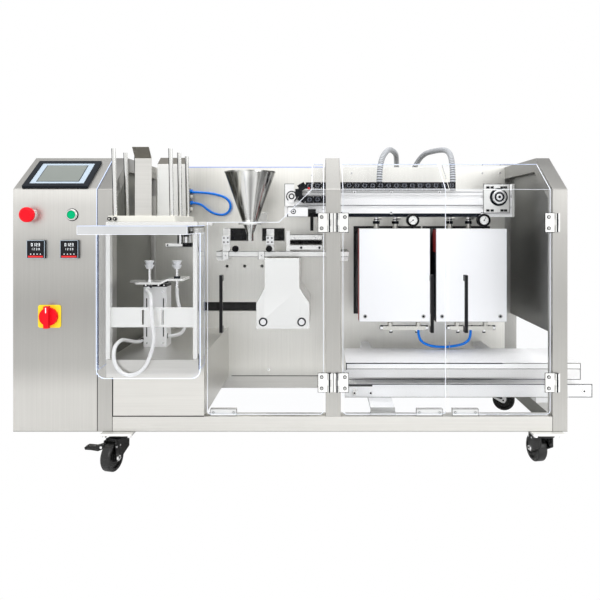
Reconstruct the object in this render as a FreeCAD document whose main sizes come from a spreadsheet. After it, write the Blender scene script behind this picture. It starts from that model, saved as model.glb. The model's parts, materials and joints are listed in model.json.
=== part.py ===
"""Horizontal pouch vacuum packing machine: portal frame, infeed, filling, two vacuum chambers, outfeed.

Millimetres, +Z up, +X towards the outfeed, front of the machine towards -Y.
The origin is on the floor, at the middle of the machine's outer box.
"""
import FreeCAD, Part
import Sketcher
import math
import os
import re

doc = FreeCAD.newDocument("PouchVacuumMachine")

# Driving sizes in millimetres and degrees: alias, value, meaning
SIZES = [
    ("cabinet_width", 225, "control cabinet, left to right"),
    ("frame_width", 1256, "outer faces of the two end arches"),
    ("outfeed_overhang", 122, "conveyor beyond the right arch"),
    ("base_depth", 620, "front of the posts to the rear cover"),
    ("shelf_reach", 234, "clear shelf in front of the posts"),
    ("caster_height", 98, "floor to underside of the frame"),
    ("tube_size", 40, "square tube of rails and arches"),
    ("conduit_diameter", 17.6, "grey conduits to the rear cover"),
    ("hose_diameter", 10, "suction hoses"),
    ("air_tube_diameter", 8, "blue air tubes"),
    ("kink_height", 745, "where the posts lean back"),
    ("top_height", 842, "top of the arches"),
    ("slant_run", 146, "depth of the leaning part"),
    ("wall_setback", 473, "post front to the stainless wall"),
    ("wall_thickness", 3, "stainless wall"),
    ("drive_slot_first", 230, "left arch to the first drive slot"),
    ("drive_slot_pitch", 128, "between the drive slots"),
    ("drive_slot_bottom", 594, "lower edge of the drive slots"),
    ("drive_slot_length", 76, "drive slots"),
    ("drive_slot_height", 43, "drive slots"),
    ("lift_slot_first", 159, "left arch to the low slot"),
    ("lift_slot_bottom", 358, "lower edge of the low slot"),
    ("lift_slot_length", 179, "low slot"),
    ("lift_slot_height", 30, "low slot"),
    ("wall_hole_first", 240, "left arch to the first round hole"),
    ("wall_hole_pitch", 59, "between the round holes"),
    ("wall_hole_height", 509, "round holes"),
    ("wall_hole_radius", 5, "round holes"),
    ("panel_thickness", 3, "side panels"),
    ("outfeed_window_top", 350, "lower edge of the right side panel"),
    ("middle_post_offset", 610, "frame left to middle post"),
    ("cover_thickness", 3, "rear cover sheet"),
    ("conduit_hole_radius", 20, "holes for the conduits in the rear cover"),
    ("conduit_hole_setback", 552, "post front to these holes"),
    ("conduit_hole_first", 860, "frame left to the first of them"),
    ("conduit_hole_pitch", 60, "between them"),
    ("cabinet_wall", 3, "cabinet sheet"),
    ("screen_width", 176, "touch screen bezel"),
    ("screen_height", 140, "touch screen bezel up the slope"),
    ("screen_depth", 7, "bezel proud of the slope"),
    ("screen_border", 14, "bezel width round the display"),
    ("screen_recess", 2, "display below the bezel"),
    ("screen_setback", 6, "foot of the slope to the bezel"),
    ("screen_inset", 22, "cabinet's left side to the bezel"),
    ("button_drop", 68, "where the posts lean back down to both push buttons"),
    ("stop_inset", 47, "cabinet's left side to the stop button"),
    ("start_inset", 158, "cabinet's left side to the start button"),
    ("stop_radius", 20, "mushroom head"),
    ("stop_head", 11, "mushroom head thickness"),
    ("stop_bevel", 3, "rounding of the mushroom head"),
    ("stop_reach", 30, "head in front of the cabinet"),
    ("stop_travel", 5, "push of the mushroom head"),
    ("start_radius", 11, "start button cap"),
    ("start_reach", 8, "cap in front of the cabinet"),
    ("collar_radius", 15, "collar of both buttons"),
    ("stop_collar", 9, "collar depth of the stop button"),
    ("start_collar", 4, "collar depth of the start button"),
    ("stem_radius", 7, "stem of the mushroom head"),
    ("stem_inside", 12, "stems behind the cabinet front"),
    ("slide_clearance", 0.4, "round sliding and turning fits, on the radius"),
    ("controller_size", 48, "square temperature controllers"),
    ("controller_depth", 9, "controllers proud of the cabinet"),
    ("controller_drop", 92, "push buttons down to the controllers"),
    ("controller_left", 64, "cabinet side to the first controller centre"),
    ("controller_pitch", 89, "between controller centres"),
    ("switch_plate_size", 61, "square plate of the main switch"),
    ("switch_plate_depth", 3, "plate of the main switch"),
    ("switch_height", 406, "centre of the main switch"),
    ("switch_inset", 98, "cabinet side to the switch centre"),
    ("knob_radius", 24, "round foot of the switch knob"),
    ("knob_foot", 10, "thickness of the knob's foot"),
    ("knob_grip", 14, "grip in front of the foot"),
    ("knob_grip_width", 13, "grip across"),
    ("knob_grip_length", 58, "grip from end to end"),
    ("knob_shaft_radius", 5, "shaft behind the knob"),
    ("deck_height", 300, "top of the infeed deck"),
    ("deck_reach", 50, "deck in front of the posts"),
    ("deck_thickness", 3, "deck sheet"),
    ("deck_lip", 46, "front lip of the deck"),
    ("partition_offset", 282, "frame left to the partition's left face"),
    ("partition_height", 305, "top of the partition"),
    ("partition_thickness", 3, "partition sheet"),
    ("upright_width", 11, "bars beside the magazine"),
    ("upright_depth", 20, "bars, front to back"),
    ("upright_setback", 5, "deck front edge to the bars"),
    ("upright_left", 37, "frame left to the left bar"),
    ("upright_span", 238, "outer faces of the two bars"),
    ("shelf_height", 648, "top of the clear shelf"),
    ("shelf_sheet", 5, "clear shelf sheet"),
    ("shelf_rim", 19, "turned down rim with the sheet"),
    ("shelf_inset", 31, "frame left to the shelf"),
    ("shelf_width", 255, "clear shelf, left to right"),
    ("guard_sheet", 5, "clear guard sheet"),
    ("guard_reach", 75, "guard in front of the posts"),
    ("guard_bottom", 257, "lower edge of the guard"),
    ("guard_inset", 22, "frame left to the guard"),
    ("guard_width", 266, "clear guard, left to right"),
    ("guard_corner", 22, "rounded lower corners"),
    ("cross_plate_bottom", 382, "lower edge of the slotted plate"),
    ("cross_plate_height", 52, "slotted plate between the bars"),
    ("cross_plate_depth", 3, "slotted plate"),
    ("cross_slot_width", 6, "upright slots of the plate"),
    ("cross_slot_height", 38, "upright slots of the plate"),
    ("cross_slot_first", 83.5, "left bar to the first slot centre"),
    ("cross_slot_pitch", 50.5, "between the slots"),
    ("lift_width", 66, "lift cylinder block"),
    ("lift_depth", 58, "lift cylinder block"),
    ("lift_inset", 90, "frame left to the block"),
    ("lift_setback", 126, "post front to the block"),
    ("lift_head", 10, "plate on top of the block"),
    ("lift_port_radius", 7, "hose fittings of the block"),
    ("left_port_inset", 6, "block's left side to its fitting's axis"),
    ("left_port_length", 10, "fitting at the block's left"),
    ("right_port_reach", 2, "fitting at the block's right"),
    ("left_port_height", 18, "deck to the fitting on the block's left"),
    ("right_port_height", 31, "deck to the fitting on the block's right"),
    ("left_port_setback", 5, "block's front to its left fitting"),
    ("right_port_setback", 10, "block's front to its right fitting"),
    ("arm_height", 498, "top of the suction arm's high end"),
    ("arm_step", 10, "drop to its low end"),
    ("arm_thickness", 6, "suction arm plate"),
    ("arm_inset", 76, "frame left to the arm"),
    ("arm_low_end", 69, "length of the low end"),
    ("arm_slope_run", 20, "length of the sloping part"),
    ("arm_length", 135, "suction arm, left to right"),
    ("arm_setback", 92, "post front to the arm"),
    ("arm_depth", 92, "suction arm, front to back"),
    ("arm_ear_reach", 31, "ear beyond the arm's low end"),
    ("arm_ear_depth", 34, "ear, front to back"),
    ("cup_radius", 14, "lip of a suction cup"),
    ("cup_bottom", 525, "foot of the bellows"),
    ("cup_height", 23, "bellows of a suction cup"),
    ("cup_waist", 8, "bellows at the foot and between the lips"),
    ("cup_dish", 4, "depth of the lip's dish"),
    ("cup_stem_radius", 5, "stem under a cup"),
    ("cup_stem_foot", 470, "lower end of the stems"),
    ("cup_nut_radius", 9, "nut that seats the stem on the arm"),
    ("cup_nut_height", 6, "nut that seats the stem on the arm"),
    ("cup_first", 111, "frame left to the first cup"),
    ("cup_pitch", 78, "between the cups"),
    ("cup_setback", 110, "post front to the cups"),
    ("cup_elbow_radius", 6, "elbow under the first cup"),
    ("cup_elbow_reach", 14, "elbow in front of its stem"),
    ("carrier_bar", 20, "steel bars under the magazine"),
    ("carrier_thickness", 10, "their thickness"),
    ("magazine_bar_width", 24, "cream bars"),
    ("magazine_bar_height", 16, "cream bars"),
    ("magazine_first", 55, "frame left to the first cream bar's centre"),
    ("magazine_pitch", 149, "between the cream bars"),
    ("magazine_depth", 262, "cream bars, front to back"),
    ("rod_radius", 5, "magazine rods"),
    ("rod_length", 178, "magazine rods above the bars"),
    ("rod_first", 25, "bar's front end to the first rod"),
    ("rod_pitch", 107, "between the rods of a row"),
    ("rod_lean", 5, "degrees that the rods lean towards the operator"),
    ("rod_sink", 1, "rod foot below the bar's top before it is cut flush"),
    ("guide_thickness", 3, "guide plates"),
    ("guide_inset", 106, "frame left to the front guide"),
    ("guide_width", 44, "front guide plate"),
    ("guide_height", 168, "front guide plate"),
    ("guide_run", 28, "front guide's lip, forward"),
    ("guide_rise", 27, "front guide's lip, up"),
    ("rear_guide_inset", 104, "frame left to the rear guide"),
    ("rear_guide_width", 88, "rear guide plate"),
    ("rear_guide_height", 174, "rear guide plate"),
    ("rear_guide_setback", 230, "post front to the rear guide"),
    ("rear_guide_run", 41, "rear guide's lip, backward"),
    ("rear_guide_rise", 23, "rear guide's lip, up"),
    ("funnel_offset", 381, "frame left to the funnel's axis"),
    ("funnel_setback", 252, "post front to the funnel's axis"),
    ("funnel_rim_radius", 76, "outside of the rim"),
    ("funnel_rim_height", 811, "top of the rim"),
    ("funnel_bead", 4, "rolled edge of the rim"),
    ("spout_bore", 9, "radius inside the spout"),
    ("spout_length", 22, "straight spout"),
    ("spout_bottom", 600, "lower end of the spout"),
    ("funnel_wall", 1.5, "funnel sheet"),
    ("bracket_height", 656, "top of the funnel ring"),
    ("bracket_thickness", 6, "funnel ring plate"),
    ("bracket_width", 34, "funnel arm"),
    ("ring_width", 12, "funnel ring round the cone"),
    ("gripper_bar_size", 17, "square gripper bar"),
    ("gripper_bar_drop", 107, "beam's underside to the gripper bar's top"),
    ("gripper_bar_offset", 269, "frame left to the bar's end"),
    ("gripper_setback", 306, "post front to the bar"),
    ("gripper_arm_width", 30, "arms from the wall to the bar"),
    ("gripper_arm_height", 30, "arms from the wall to the bar"),
    ("gripper_end_gap", 28, "bar's end to the first chamber cover"),
    ("clamp_first", 289, "frame left to the first clamp of the bar"),
    ("clamp_pitch", 112, "between the clamps"),
    ("clamp_width", 20, "clamps round the bar"),
    ("clamp_depth", 26, "clamps, front to back"),
    ("clamp_height", 26, "clamps round the bar"),
    ("clamp_drop", 8, "clamp below the bar"),
    ("bar_knob_first", 330, "frame left to the first knob's centre"),
    ("bar_knob_pitch", 105, "between the knobs"),
    ("bar_knob_radius", 10, "knobs on the bar"),
    ("bar_knob_reach", 10, "knobs in front of the bar"),
    ("bar_knob_rise", 8, "bar's top to the knobs' centre"),
    ("gripper_first", 289, "frame left to the first white block"),
    ("gripper_pitch", 137, "between the white blocks"),
    ("gripper_block_width", 24, "white gripper blocks"),
    ("gripper_block_rise", 22, "bar's top to the white blocks"),
    ("gripper_block_height", 27, "white gripper blocks"),
    ("gripper_block_depth", 14, "white gripper blocks"),
    ("gripper_leaf_height", 70, "upright leaf that carries a white block"),
    ("gripper_leaf", 3, "upright leaf that carries a white block"),
    ("slide_first", 488, "frame left to the drive slide"),
    ("slide_length", 112, "drive slide on the bar"),
    ("slide_depth", 34, "drive slide, front to back"),
    ("slide_low", 4, "bar's top to the slide's lower rail"),
    ("slide_rail", 16, "rails of the slide"),
    ("rack_gap", 2, "lower rail to the rack"),
    ("rack_height", 12, "toothed rack of the slide"),
    ("rack_inset", 6, "rack behind the rails' front"),
    ("rack_tooth", 8, "tooth to tooth"),
    ("slide_end", 12, "end plate of the slide"),
    ("slide_end_height", 64, "end plate of the slide"),
    ("support_bottom", 338, "lower edge of the pouch support"),
    ("support_width", 159, "pouch support at its foot"),
    ("support_shoulder", 76, "foot to where its sides draw in"),
    ("support_neck", 122, "foot to its narrow part"),
    ("support_neck_left", 25, "side to the narrow part"),
    ("support_neck_right", 129, "side to the narrow part's far side"),
    ("thumb_first", 21, "pouch support's side to the first thumb screw"),
    ("thumb_pitch", 115, "between the thumb screws"),
    ("thumb_height", 21, "foot of the support to the thumb screws"),
    ("thumb_radius", 9, "thumb screws"),
    ("thumb_reach", 6, "thumb screws"),
    ("support_offset", 403, "frame left to the pouch support"),
    ("support_setback", 216, "post front to the pouch support"),
    ("support_thickness", 3, "pouch support sheet"),
    ("beam_offset", 493, "frame left to the transfer beam"),
    ("beam_length", 690, "transfer beam"),
    ("beam_setback", 270, "post front to the beam"),
    ("beam_depth", 60, "transfer beam"),
    ("beam_drop", 169, "top of the frame to the underside of the beam"),
    ("beam_height", 83, "transfer beam"),
    ("beam_slot", 8, "grooves of the beam"),
    ("beam_slot_depth", 6, "grooves of the beam"),
    ("beam_groove_low", 24, "underside to the lower groove"),
    ("beam_groove_high", 58, "underside to the upper groove"),
    ("beam_arm_width", 50, "arms from the wall to the beam"),
    ("beam_arm_first", 70, "beam end to the first arm"),
    ("beam_arm_pitch", 500, "between the two arms"),
    ("end_plate_thickness", 8, "plates on the beam's ends"),
    ("end_plate_height", 101, "plates on the beam's ends"),
    ("pulley_depth", 10, "belt pulley"),
    ("pulley_radius", 21, "belt pulley at the beam's end"),
    ("pulley_inset", 47, "drive plate's side to the pulley"),
    ("pulley_rise", 61, "underside of the beam to the pulley"),
    ("drive_plate_inset", 89, "beam's end to the drive plate's left side"),
    ("drive_plate_rise", 12, "underside of the beam to the drive plate"),
    ("drive_plate_width", 81, "plate in front of the beam's end"),
    ("drive_plate_height", 89, "plate in front of the beam's end"),
    ("bearing_width", 30, "bearing plate at the beam's left end"),
    ("bearing_rise", 34, "underside of the beam to the bearing plate"),
    ("bearing_height", 68, "bearing plate"),
    ("bearing_radius", 9, "bearing on its plate"),
    ("bearing_reach", 4, "bearing in front of its plate"),
    ("motor_block_first", 4, "beam's left end to the motor block"),
    ("motor_block_length", 60, "block under the drag chain"),
    ("motor_block_height", 30, "block under the drag chain"),
    ("motor_depth", 26, "block under the drag chain"),
    ("motor_radius", 12, "round motor beside the block"),
    ("motor_length", 24, "round motor beside the block"),
    ("motor_shaft_radius", 5, "stub under the motor"),
    ("motor_shaft_drop", 42, "underside of the beam to the stub's end"),
    ("drive_plate_thickness", 6, "plate in front of the beam's end"),
    ("chain_height", 20, "drag chain link"),
    ("chain_width", 26, "drag chain, front to back"),
    ("chain_pitch", 24, "drag chain link to link"),
    ("chain_bend", 21, "bend radius at the link centres"),
    ("chain_offset", 550, "frame left to the bend's centre"),
    ("chain_upper", 19, "links of the upper run"),
    ("chain_lower", 4, "links of the lower run"),
    ("chain_gap", 1.5, "between links"),
    ("chain_recess_length", 13.5, "recess in a link's side"),
    ("chain_recess_height", 11, "recess in a link's side"),
    ("chain_recess_depth", 3, "recess in a link's side"),
    ("chain_pin_radius", 4, "pins between the links"),
    ("chain_pin_inset", 4, "pin ends inside the link's width"),
    ("tray_thickness", 2, "sheet under the drag chain"),
    ("chamber_first", 712, "frame left to the first chamber cover"),
    ("chamber_pitch", 232, "between the chambers"),
    ("chamber_width", 214, "white chamber cover"),
    ("chamber_height", 282, "white chamber cover"),
    ("chamber_drop", 35, "underside of the beam to the top of the covers"),
    ("cover_setback", 234, "post front to the cover's front"),
    ("cover_depth", 58, "white chamber cover"),
    ("cover_travel", 50, "opening of a chamber cover"),
    ("gasket_depth", 4, "red seal"),
    ("gasket_width", 14, "red seal ring"),
    ("seal_gap", 0.3, "cover to seal"),
    ("body_inset", 2, "chamber body inside the cover's outline"),
    ("body_corner", 24, "rounded corners of the chamber body"),
    ("seal_corner", 12, "rounded corners of the red seal"),
    ("flange_rim", 8, "rear flange beyond the chamber body"),
    ("flange_depth", 10, "rear flange at the wall"),
    ("gauge_radius", 19, "vacuum gauges"),
    ("gauge_depth", 22, "vacuum gauges"),
    ("gauge_inset", 163, "first cover's side to its gauge"),
    ("gauge_pitch", 215, "between the gauges"),
    ("gauge_drop", 10, "underside of the beam to the gauges' centre"),
    ("gauge_gap", 5, "gauge to the drive plate"),
    ("port_radius", 8, "vacuum ports"),
    ("port_height", 16, "vacuum ports"),
    ("port_inset", 60, "cover's side to the ports"),
    ("port_setback", 40, "chamber body's front to the upper ports"),
    ("manifold_inset", 78, "first cover's side to its manifold"),
    ("manifold_pitch", 209, "between the manifolds"),
    ("manifold_length", 132, "manifold under a chamber"),
    ("manifold_depth", 20, "manifold under a chamber"),
    ("manifold_height", 12, "manifold under a chamber"),
    ("manifold_drop", 24, "chamber body to its manifold"),
    ("manifold_setback", 294, "post front to the manifolds"),
    ("manifold_port", 22, "manifold's end to its port"),
    ("valve_inset", 110, "frame left to the valve block"),
    ("valve_width", 50, "valve block on the wall"),
    ("valve_depth", 40, "valve block on the wall"),
    ("valve_height", 80, "valve block on the wall"),
    ("valve_drop", 72, "top of the frame to the valve block"),
    ("tray_offset", 668, "frame left to the pouch tray"),
    ("tray_length", 665, "pouch tray"),
    ("tray_height", 258, "top of the pouch tray"),
    ("tray_front", 110, "post front to the tray's lip"),
    ("tray_depth", 222, "pouch tray, front to back"),
    ("tray_sheet", 3, "pouch tray sheet"),
    ("tray_lip", 17, "turned down lip"),
    ("tray_return_run", 25, "lip's edge bent in under the tray"),
    ("tray_return_drop", 30, "lip's edge bent in under the tray"),
    ("tray_arm_first", 60, "tray's end to its first arm"),
    ("tray_arm_pitch", 380, "between the tray's arms"),
    ("tray_arm_width", 30, "arms from the wall to the tray"),
    ("conveyor_front", 140, "post front to the conveyor"),
    ("conveyor_width", 200, "conveyor, front to back"),
    ("conveyor_offset", 665, "frame left to the conveyor"),
    ("conveyor_bottom", 153, "underside of the conveyor frame"),
    ("conveyor_height", 38, "conveyor side plates"),
    ("conveyor_plate", 4, "conveyor side plates"),
    ("conveyor_corner", 14, "rounded corner of the side plates at the outfeed"),
    ("roller_radius", 17, "end rollers"),
    ("belt_thickness", 2, "conveyor belt"),
    ("belt_inset", 3, "side plate to the belt"),
    ("roller_inset", 30, "frame's end to the roller axis"),
    ("roller_pin", 6, "radius of the roller pins"),
    ("stay_first", 150, "conveyor end to the first stay"),
    ("stay_pitch", 210, "between the conveyor stays"),
    ("stay_size", 20, "stays between the side plates"),
    ("foot_width", 67, "conveyor foot on the rail"),
    ("foot_first", 67, "conveyor end to its foot"),
    ("foot_setback", 12, "post front to the foot"),
    ("foot_thickness", 5, "conveyor foot"),
    ("door_gap", 5, "round the clear doors"),
    ("door_sheet", 5, "clear door sheet"),
    ("door_top_run", 117, "leaning part of the doors"),
    ("door_corner", 9, "rounded door corners"),
    ("left_door_width", 312, "left door"),
    ("left_door_top", 658, "top edge of the left door beside the guard"),
    ("left_door_level", 192, "length of that edge"),
    ("left_door_rise", 280, "door edge to where the left door leans back"),
    ("middle_door_width", 276, "middle door"),
    ("hinge_height", 50, "door hinges"),
    ("hinge_low", 204, "foot of the lower hinges"),
    ("hinge_high", 631, "foot of the upper hinges"),
    ("hinge_inset", 10, "post edge to the hinge axis"),
    ("leaf_gap", 1, "leaves to the knuckles and to the post's edge"),
    ("hinge_axis_reach", 5, "hinge axis in front of the posts"),
    ("knuckle_radius", 4.5, "hinge knuckles"),
    ("hinge_pin_radius", 2, "hinge pins"),
    ("leaf_thickness", 2.5, "hinge leaves"),
    ("leaf_width", 30, "hinge leaf on the door, from the axis"),
    ("handle_length", 152, "bar handles"),
    ("handle_bar", 8, "bar handles, square"),
    ("handle_reach", 24, "handle in front of the door"),
    ("handle_bottom", 365, "foot of the handles"),
    ("handle_inset", 40, "door's free edge to the handle"),
    ("catch_width", 70, "door catches"),
    ("catch_depth", 14, "door catches"),
    ("catch_height", 19, "door catches"),
    ("catch_gap", 1, "door to its catch"),
    ("catch_inset", 8, "door's free edge to its catch"),
    ("caster_inset", 56, "frame end to the caster axis"),
    ("caster_plate_length", 84, "caster plates"),
    ("caster_plate_thickness", 6, "caster plates"),
    ("rear_caster_setback", 578, "post front to the rear casters"),
    ("wheel_radius", 37.5, "caster wheels"),
    ("wheel_width", 26, "caster wheels"),
    ("hub_radius", 12.5, "wheel hub"),
    ("hub_reach", 1, "hub beyond the tread"),
    ("web_radius", 26, "wheel web"),
    ("web_half", 8.7, "half the thickness of the wheel's web"),
    ("tyre_radius", 28, "inside of the tyre"),
    ("tyre_bevel", 3, "bevel of the tread"),
    ("king_radius", 9, "king pin of a caster"),
    ("wheel_trail", 40, "caster axis to the wheel axle"),
    ("axle_radius", 5, "caster axles"),
    ("race_radius", 27, "swivel head"),
    ("race_height", 8, "swivel head"),
    ("fork_plate", 3, "caster fork"),
    ("fork_gap", 3, "fork to wheel"),
    ("front_left_turn", 164, "way the front left caster points"),
    ("front_right_turn", 12, "way the front right caster points"),
    ("rear_left_turn", 110, "way the rear left caster points"),
    ("rear_right_turn", 250, "way the rear right caster points"),
]

# Places worked out from the sizes: alias, formula
PLACES = [
    ("overall_length", "cabinet_width + frame_width + outfeed_overhang"),
    ("overall_depth", "shelf_reach + base_depth"),
    ("cabinet_left", "0 - overall_length / 2"),
    ("frame_left", "cabinet_left + cabinet_width"),
    ("frame_right", "frame_left + frame_width"),
    ("front_face", "shelf_reach - overall_depth / 2"),
    ("wall_face", "front_face + wall_setback"),
    ("wall_back", "wall_face + wall_thickness"),
    ("post_back", "wall_face + tube_size"),
    ("rear_face", "front_face + base_depth"),
    ("rail_top", "caster_height + tube_size"),
    ("left_inner", "frame_left + tube_size"),
    ("right_inner", "frame_right - tube_size"),
    ("inner_width", "right_inner - left_inner"),
    ("middle_left", "frame_left + middle_post_offset"),
    ("middle_right", "middle_left + tube_size"),
    ("slant_angle", "atan((top_height - kink_height) / slant_run)"),
    ("low_corner", "tube_size * tan(45 deg - slant_angle / 2)"),
    ("high_corner", "tube_size * tan(slant_angle / 2)"),
    ("partition_left", "frame_left + partition_offset"),
    ("deck_front", "front_face - deck_reach"),
    ("shelf_under", "shelf_height - shelf_sheet"),
    ("funnel_x", "frame_left + funnel_offset"),
    ("funnel_y", "front_face + funnel_setback"),
    ("spout_outer", "spout_bore + funnel_wall"),
    ("cone_start", "spout_bottom + spout_length"),
    ("cone_slope", "(funnel_rim_radius - spout_outer) / (funnel_rim_height - funnel_bead - cone_start)"),
    ("gripper_y", "front_face + gripper_setback"),
    ("gripper_bar_length", "chamber_first - gripper_end_gap - gripper_bar_offset"),
    ("arm_bottom", "arm_height - arm_step - arm_thickness"),
    ("lift_height", "arm_bottom - lift_head - deck_height"),
    ("beam_left", "frame_left + beam_offset"),
    ("beam_front", "front_face + beam_setback"),
    ("beam_bottom", "top_height - beam_drop"),
    ("beam_top", "beam_bottom + beam_height"),
    ("gripper_bar_height", "beam_bottom - gripper_bar_drop"),
    ("button_height", "kink_height - button_drop"),
    ("controller_height", "button_height - controller_drop"),
    ("gauge_height", "beam_bottom - gauge_drop"),
    ("gauge_y", "beam_front - drive_plate_thickness - gauge_gap - gauge_depth"),
    ("chamber_bottom", "beam_bottom - chamber_drop - chamber_height"),
    ("body_bottom", "chamber_bottom + body_inset"),
    ("manifold_bottom", "body_bottom - manifold_drop - manifold_height"),
    ("chain_front", "beam_front - chain_width"),
    ("chamber_left", "frame_left + chamber_first"),
    ("cover_front", "front_face + cover_setback"),
    ("seal_front", "cover_front + cover_depth + seal_gap"),
    ("body_front", "seal_front + gasket_depth"),
    ("body_top", "chamber_bottom + chamber_height - body_inset"),
    ("conveyor_left", "frame_left + conveyor_offset"),
    ("conveyor_length", "frame_right + outfeed_overhang - conveyor_left"),
    ("conveyor_y", "front_face + conveyor_front"),
    ("roller_height", "conveyor_bottom + conveyor_height - roller_radius"),
    ("left_door_left", "middle_left - door_gap - left_door_width"),
    ("middle_door_left", "middle_right + door_gap"),
    ("right_door_left", "middle_door_left + middle_door_width + 2 * door_gap"),
    ("right_door_width", "right_inner - door_gap - right_door_left"),
    ("pane_bottom", "rail_top + door_gap"),
    ("hinge_y", "front_face - hinge_axis_reach"),
    ("left_axis", "middle_left + hinge_inset"),
    ("middle_axis", "middle_right - hinge_inset"),
    ("right_axis", "right_inner + hinge_inset"),
]

sheet = doc.addObject("Spreadsheet::Sheet", "Sizes")
for row, (alias, value, meaning) in enumerate(SIZES, start=1):
    sheet.set(f"A{row}", meaning)
    sheet.set(f"B{row}", str(value))
    sheet.setAlias(f"B{row}", alias)
places = doc.addObject("Spreadsheet::Sheet", "Places")
HOMES = {alias: "Sizes." + alias for alias, value, meaning in SIZES}
HOMES.update({alias: "Places." + alias for alias, formula in PLACES})


def refer(formula):
    """Point every size or place named in a formula at the sheet that holds it."""
    return re.sub(r"[a-z][a-z0-9_]*", lambda word: HOMES.get(word.group(0), word.group(0)), str(formula))


for row, (alias, formula) in enumerate(PLACES, start=1):
    places.set(f"B{row}", "=" + refer(formula).replace("Places.", ""))
    places.setAlias(f"B{row}", alias)
    doc.recompute()


def size(alias):
    """Read one size or place as a plain number."""
    home = sheet if HOMES[alias].startswith("Sizes.") else places
    value = home.get(alias)
    return float(getattr(value, "Value", value))


NODES = []
MAIN_AXES = {
    "x": FreeCAD.Rotation(FreeCAD.Vector(0, 1, 0), 90),
    "y": FreeCAD.Rotation(FreeCAD.Vector(1, 0, 0), -90),
    "z": FreeCAD.Rotation(),
}


def node(shape_object, name):
    """Give a finished sub-part its name and list it for export."""
    shape_object.Label = name
    NODES.append(shape_object)
    return shape_object


def put(item, x=0, y=0, z=0, turn=None, axis=None):
    """Bind an object's place, and its turn about an axis, to formulas."""
    if axis is not None:
        item.Placement = FreeCAD.Placement(FreeCAD.Vector(), FreeCAD.Rotation(axis, 1))
        item.setExpression("Placement.Rotation.Angle", refer(turn))
    item.setExpression("Placement.Base.x", refer(x))
    item.setExpression("Placement.Base.y", refer(y))
    item.setExpression("Placement.Base.z", refer(z))
    return item


def block(name, x, y, z, length, width, height):
    """A box from its low corner and its three sizes."""
    item = doc.addObject("Part::Box", name)
    item.setExpression("Length", refer(length))
    item.setExpression("Width", refer(width))
    item.setExpression("Height", refer(height))
    return put(item, x, y, z)


def rod(name, direction, radius, length, x, y, z):
    """A cylinder that starts at a point and runs along x, y or z."""
    item = doc.addObject("Part::Cylinder", name)
    item.setExpression("Radius", refer(radius))
    item.setExpression("Height", refer(length))
    item.Placement = FreeCAD.Placement(FreeCAD.Vector(), MAIN_AXES[direction])
    return put(item, x, y, z)


def fused(name, items):
    """Several solids joined into one."""
    joined = doc.addObject("Part::MultiFuse", name)
    joined.Shapes = items
    joined.Refine = True
    return joined


def without(name, base, tool):
    """One solid less another."""
    cut = doc.addObject("Part::Cut", name)
    cut.Base = base
    cut.Tool = tool
    cut.Refine = True
    return cut


def together(name, items):
    """Solids of one sub-part that don't touch."""
    group = doc.addObject("Part::Compound", name)
    group.Links = items
    return group


def origin_plane(body, role):
    """One of a body's own origin planes."""
    return next(plane for plane in body.Origin.OriginFeatures if plane.Role == role)


def add_loop(sketch, corners):
    """Draw a closed outline and bind each corner to its pair of formulas."""
    first = sketch.GeometryCount
    count = len(corners)
    turns = [2 * math.pi * index / count for index in range(count)]
    guess = [FreeCAD.Vector(math.cos(turn), math.sin(turn), 0) for turn in turns]
    sketch.addGeometry([Part.LineSegment(guess[i], guess[(i + 1) % count]) for i in range(count)])
    for i in range(count):
        sketch.addConstraint(Sketcher.Constraint("Coincident", first + i, 2, first + (i + 1) % count, 1))
    for i, (across, up) in enumerate(corners):
        for kind, formula, start in (("DistanceX", across, guess[i].x), ("DistanceY", up, guess[i].y)):
            index = sketch.addConstraint(Sketcher.Constraint(kind, -1, 1, first + i, 1, start))
            sketch.setExpression(f"Constraints[{index}]", refer(formula))


def add_circle(sketch, across, up, radius):
    """Draw a circle bound to three formulas."""
    index = sketch.addGeometry(Part.Circle(FreeCAD.Vector(1, 1, 0), FreeCAD.Vector(0, 0, 1), 1))
    for kind, formula in (("DistanceX", across), ("DistanceY", up)):
        at = sketch.addConstraint(Sketcher.Constraint(kind, -1, 1, index, 3, 1))
        sketch.setExpression(f"Constraints[{at}]", refer(formula))
    at = sketch.addConstraint(Sketcher.Constraint("Radius", index, 1))
    sketch.setExpression(f"Constraints[{at}]", refer(radius))


def sketched_body(name, role, loops, circles=()):
    """A PartDesign body with one sketch of outlines and circles on an origin plane."""
    body = doc.addObject("PartDesign::Body", name)
    sketch = body.newObject("Sketcher::SketchObject", name + "Sketch")
    sketch.AttachmentSupport = [(origin_plane(body, role), "")]
    sketch.MapMode = "FlatFace"
    for corners in loops:
        add_loop(sketch, corners)
    for circle in circles:
        add_circle(sketch, *circle)
    return body, sketch


def extruded(name, role, corners, depth, x=0, y=0, z=0, windows=(), circles=(), back=False):
    """An outline with its windows and round holes, padded to a depth."""
    body, sketch = sketched_body(name, role, [corners, *windows], circles)
    pad = body.newObject("PartDesign::Pad", name + "Pad")
    pad.Profile = sketch
    pad.Reversed = back
    pad.setExpression("Length", refer(depth))
    return put(body, x, y, z)


def turned(name, role, corners, x=0, y=0, z=0):
    """An outline turned round the vertical axis of its sketch."""
    body, sketch = sketched_body(name, role, [corners])
    turn = body.newObject("PartDesign::Revolution", name + "Turn")
    turn.Profile = sketch
    turn.ReferenceAxis = (sketch, ["V_Axis"])
    turn.Angle = 360
    return put(body, x, y, z)


def round_edges(body, radius, chosen):
    """Fillet the edges of a body's last feature that pass the test."""
    doc.recompute()
    base = body.Tip
    names = [f"Edge{n}" for n, edge in enumerate(base.Shape.Edges, start=1) if chosen(edge)]
    fillet = body.newObject("PartDesign::Fillet", body.Name + "Fillet")
    fillet.Base = (base, names)
    fillet.setExpression("Radius", refer(radius))
    return body


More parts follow.
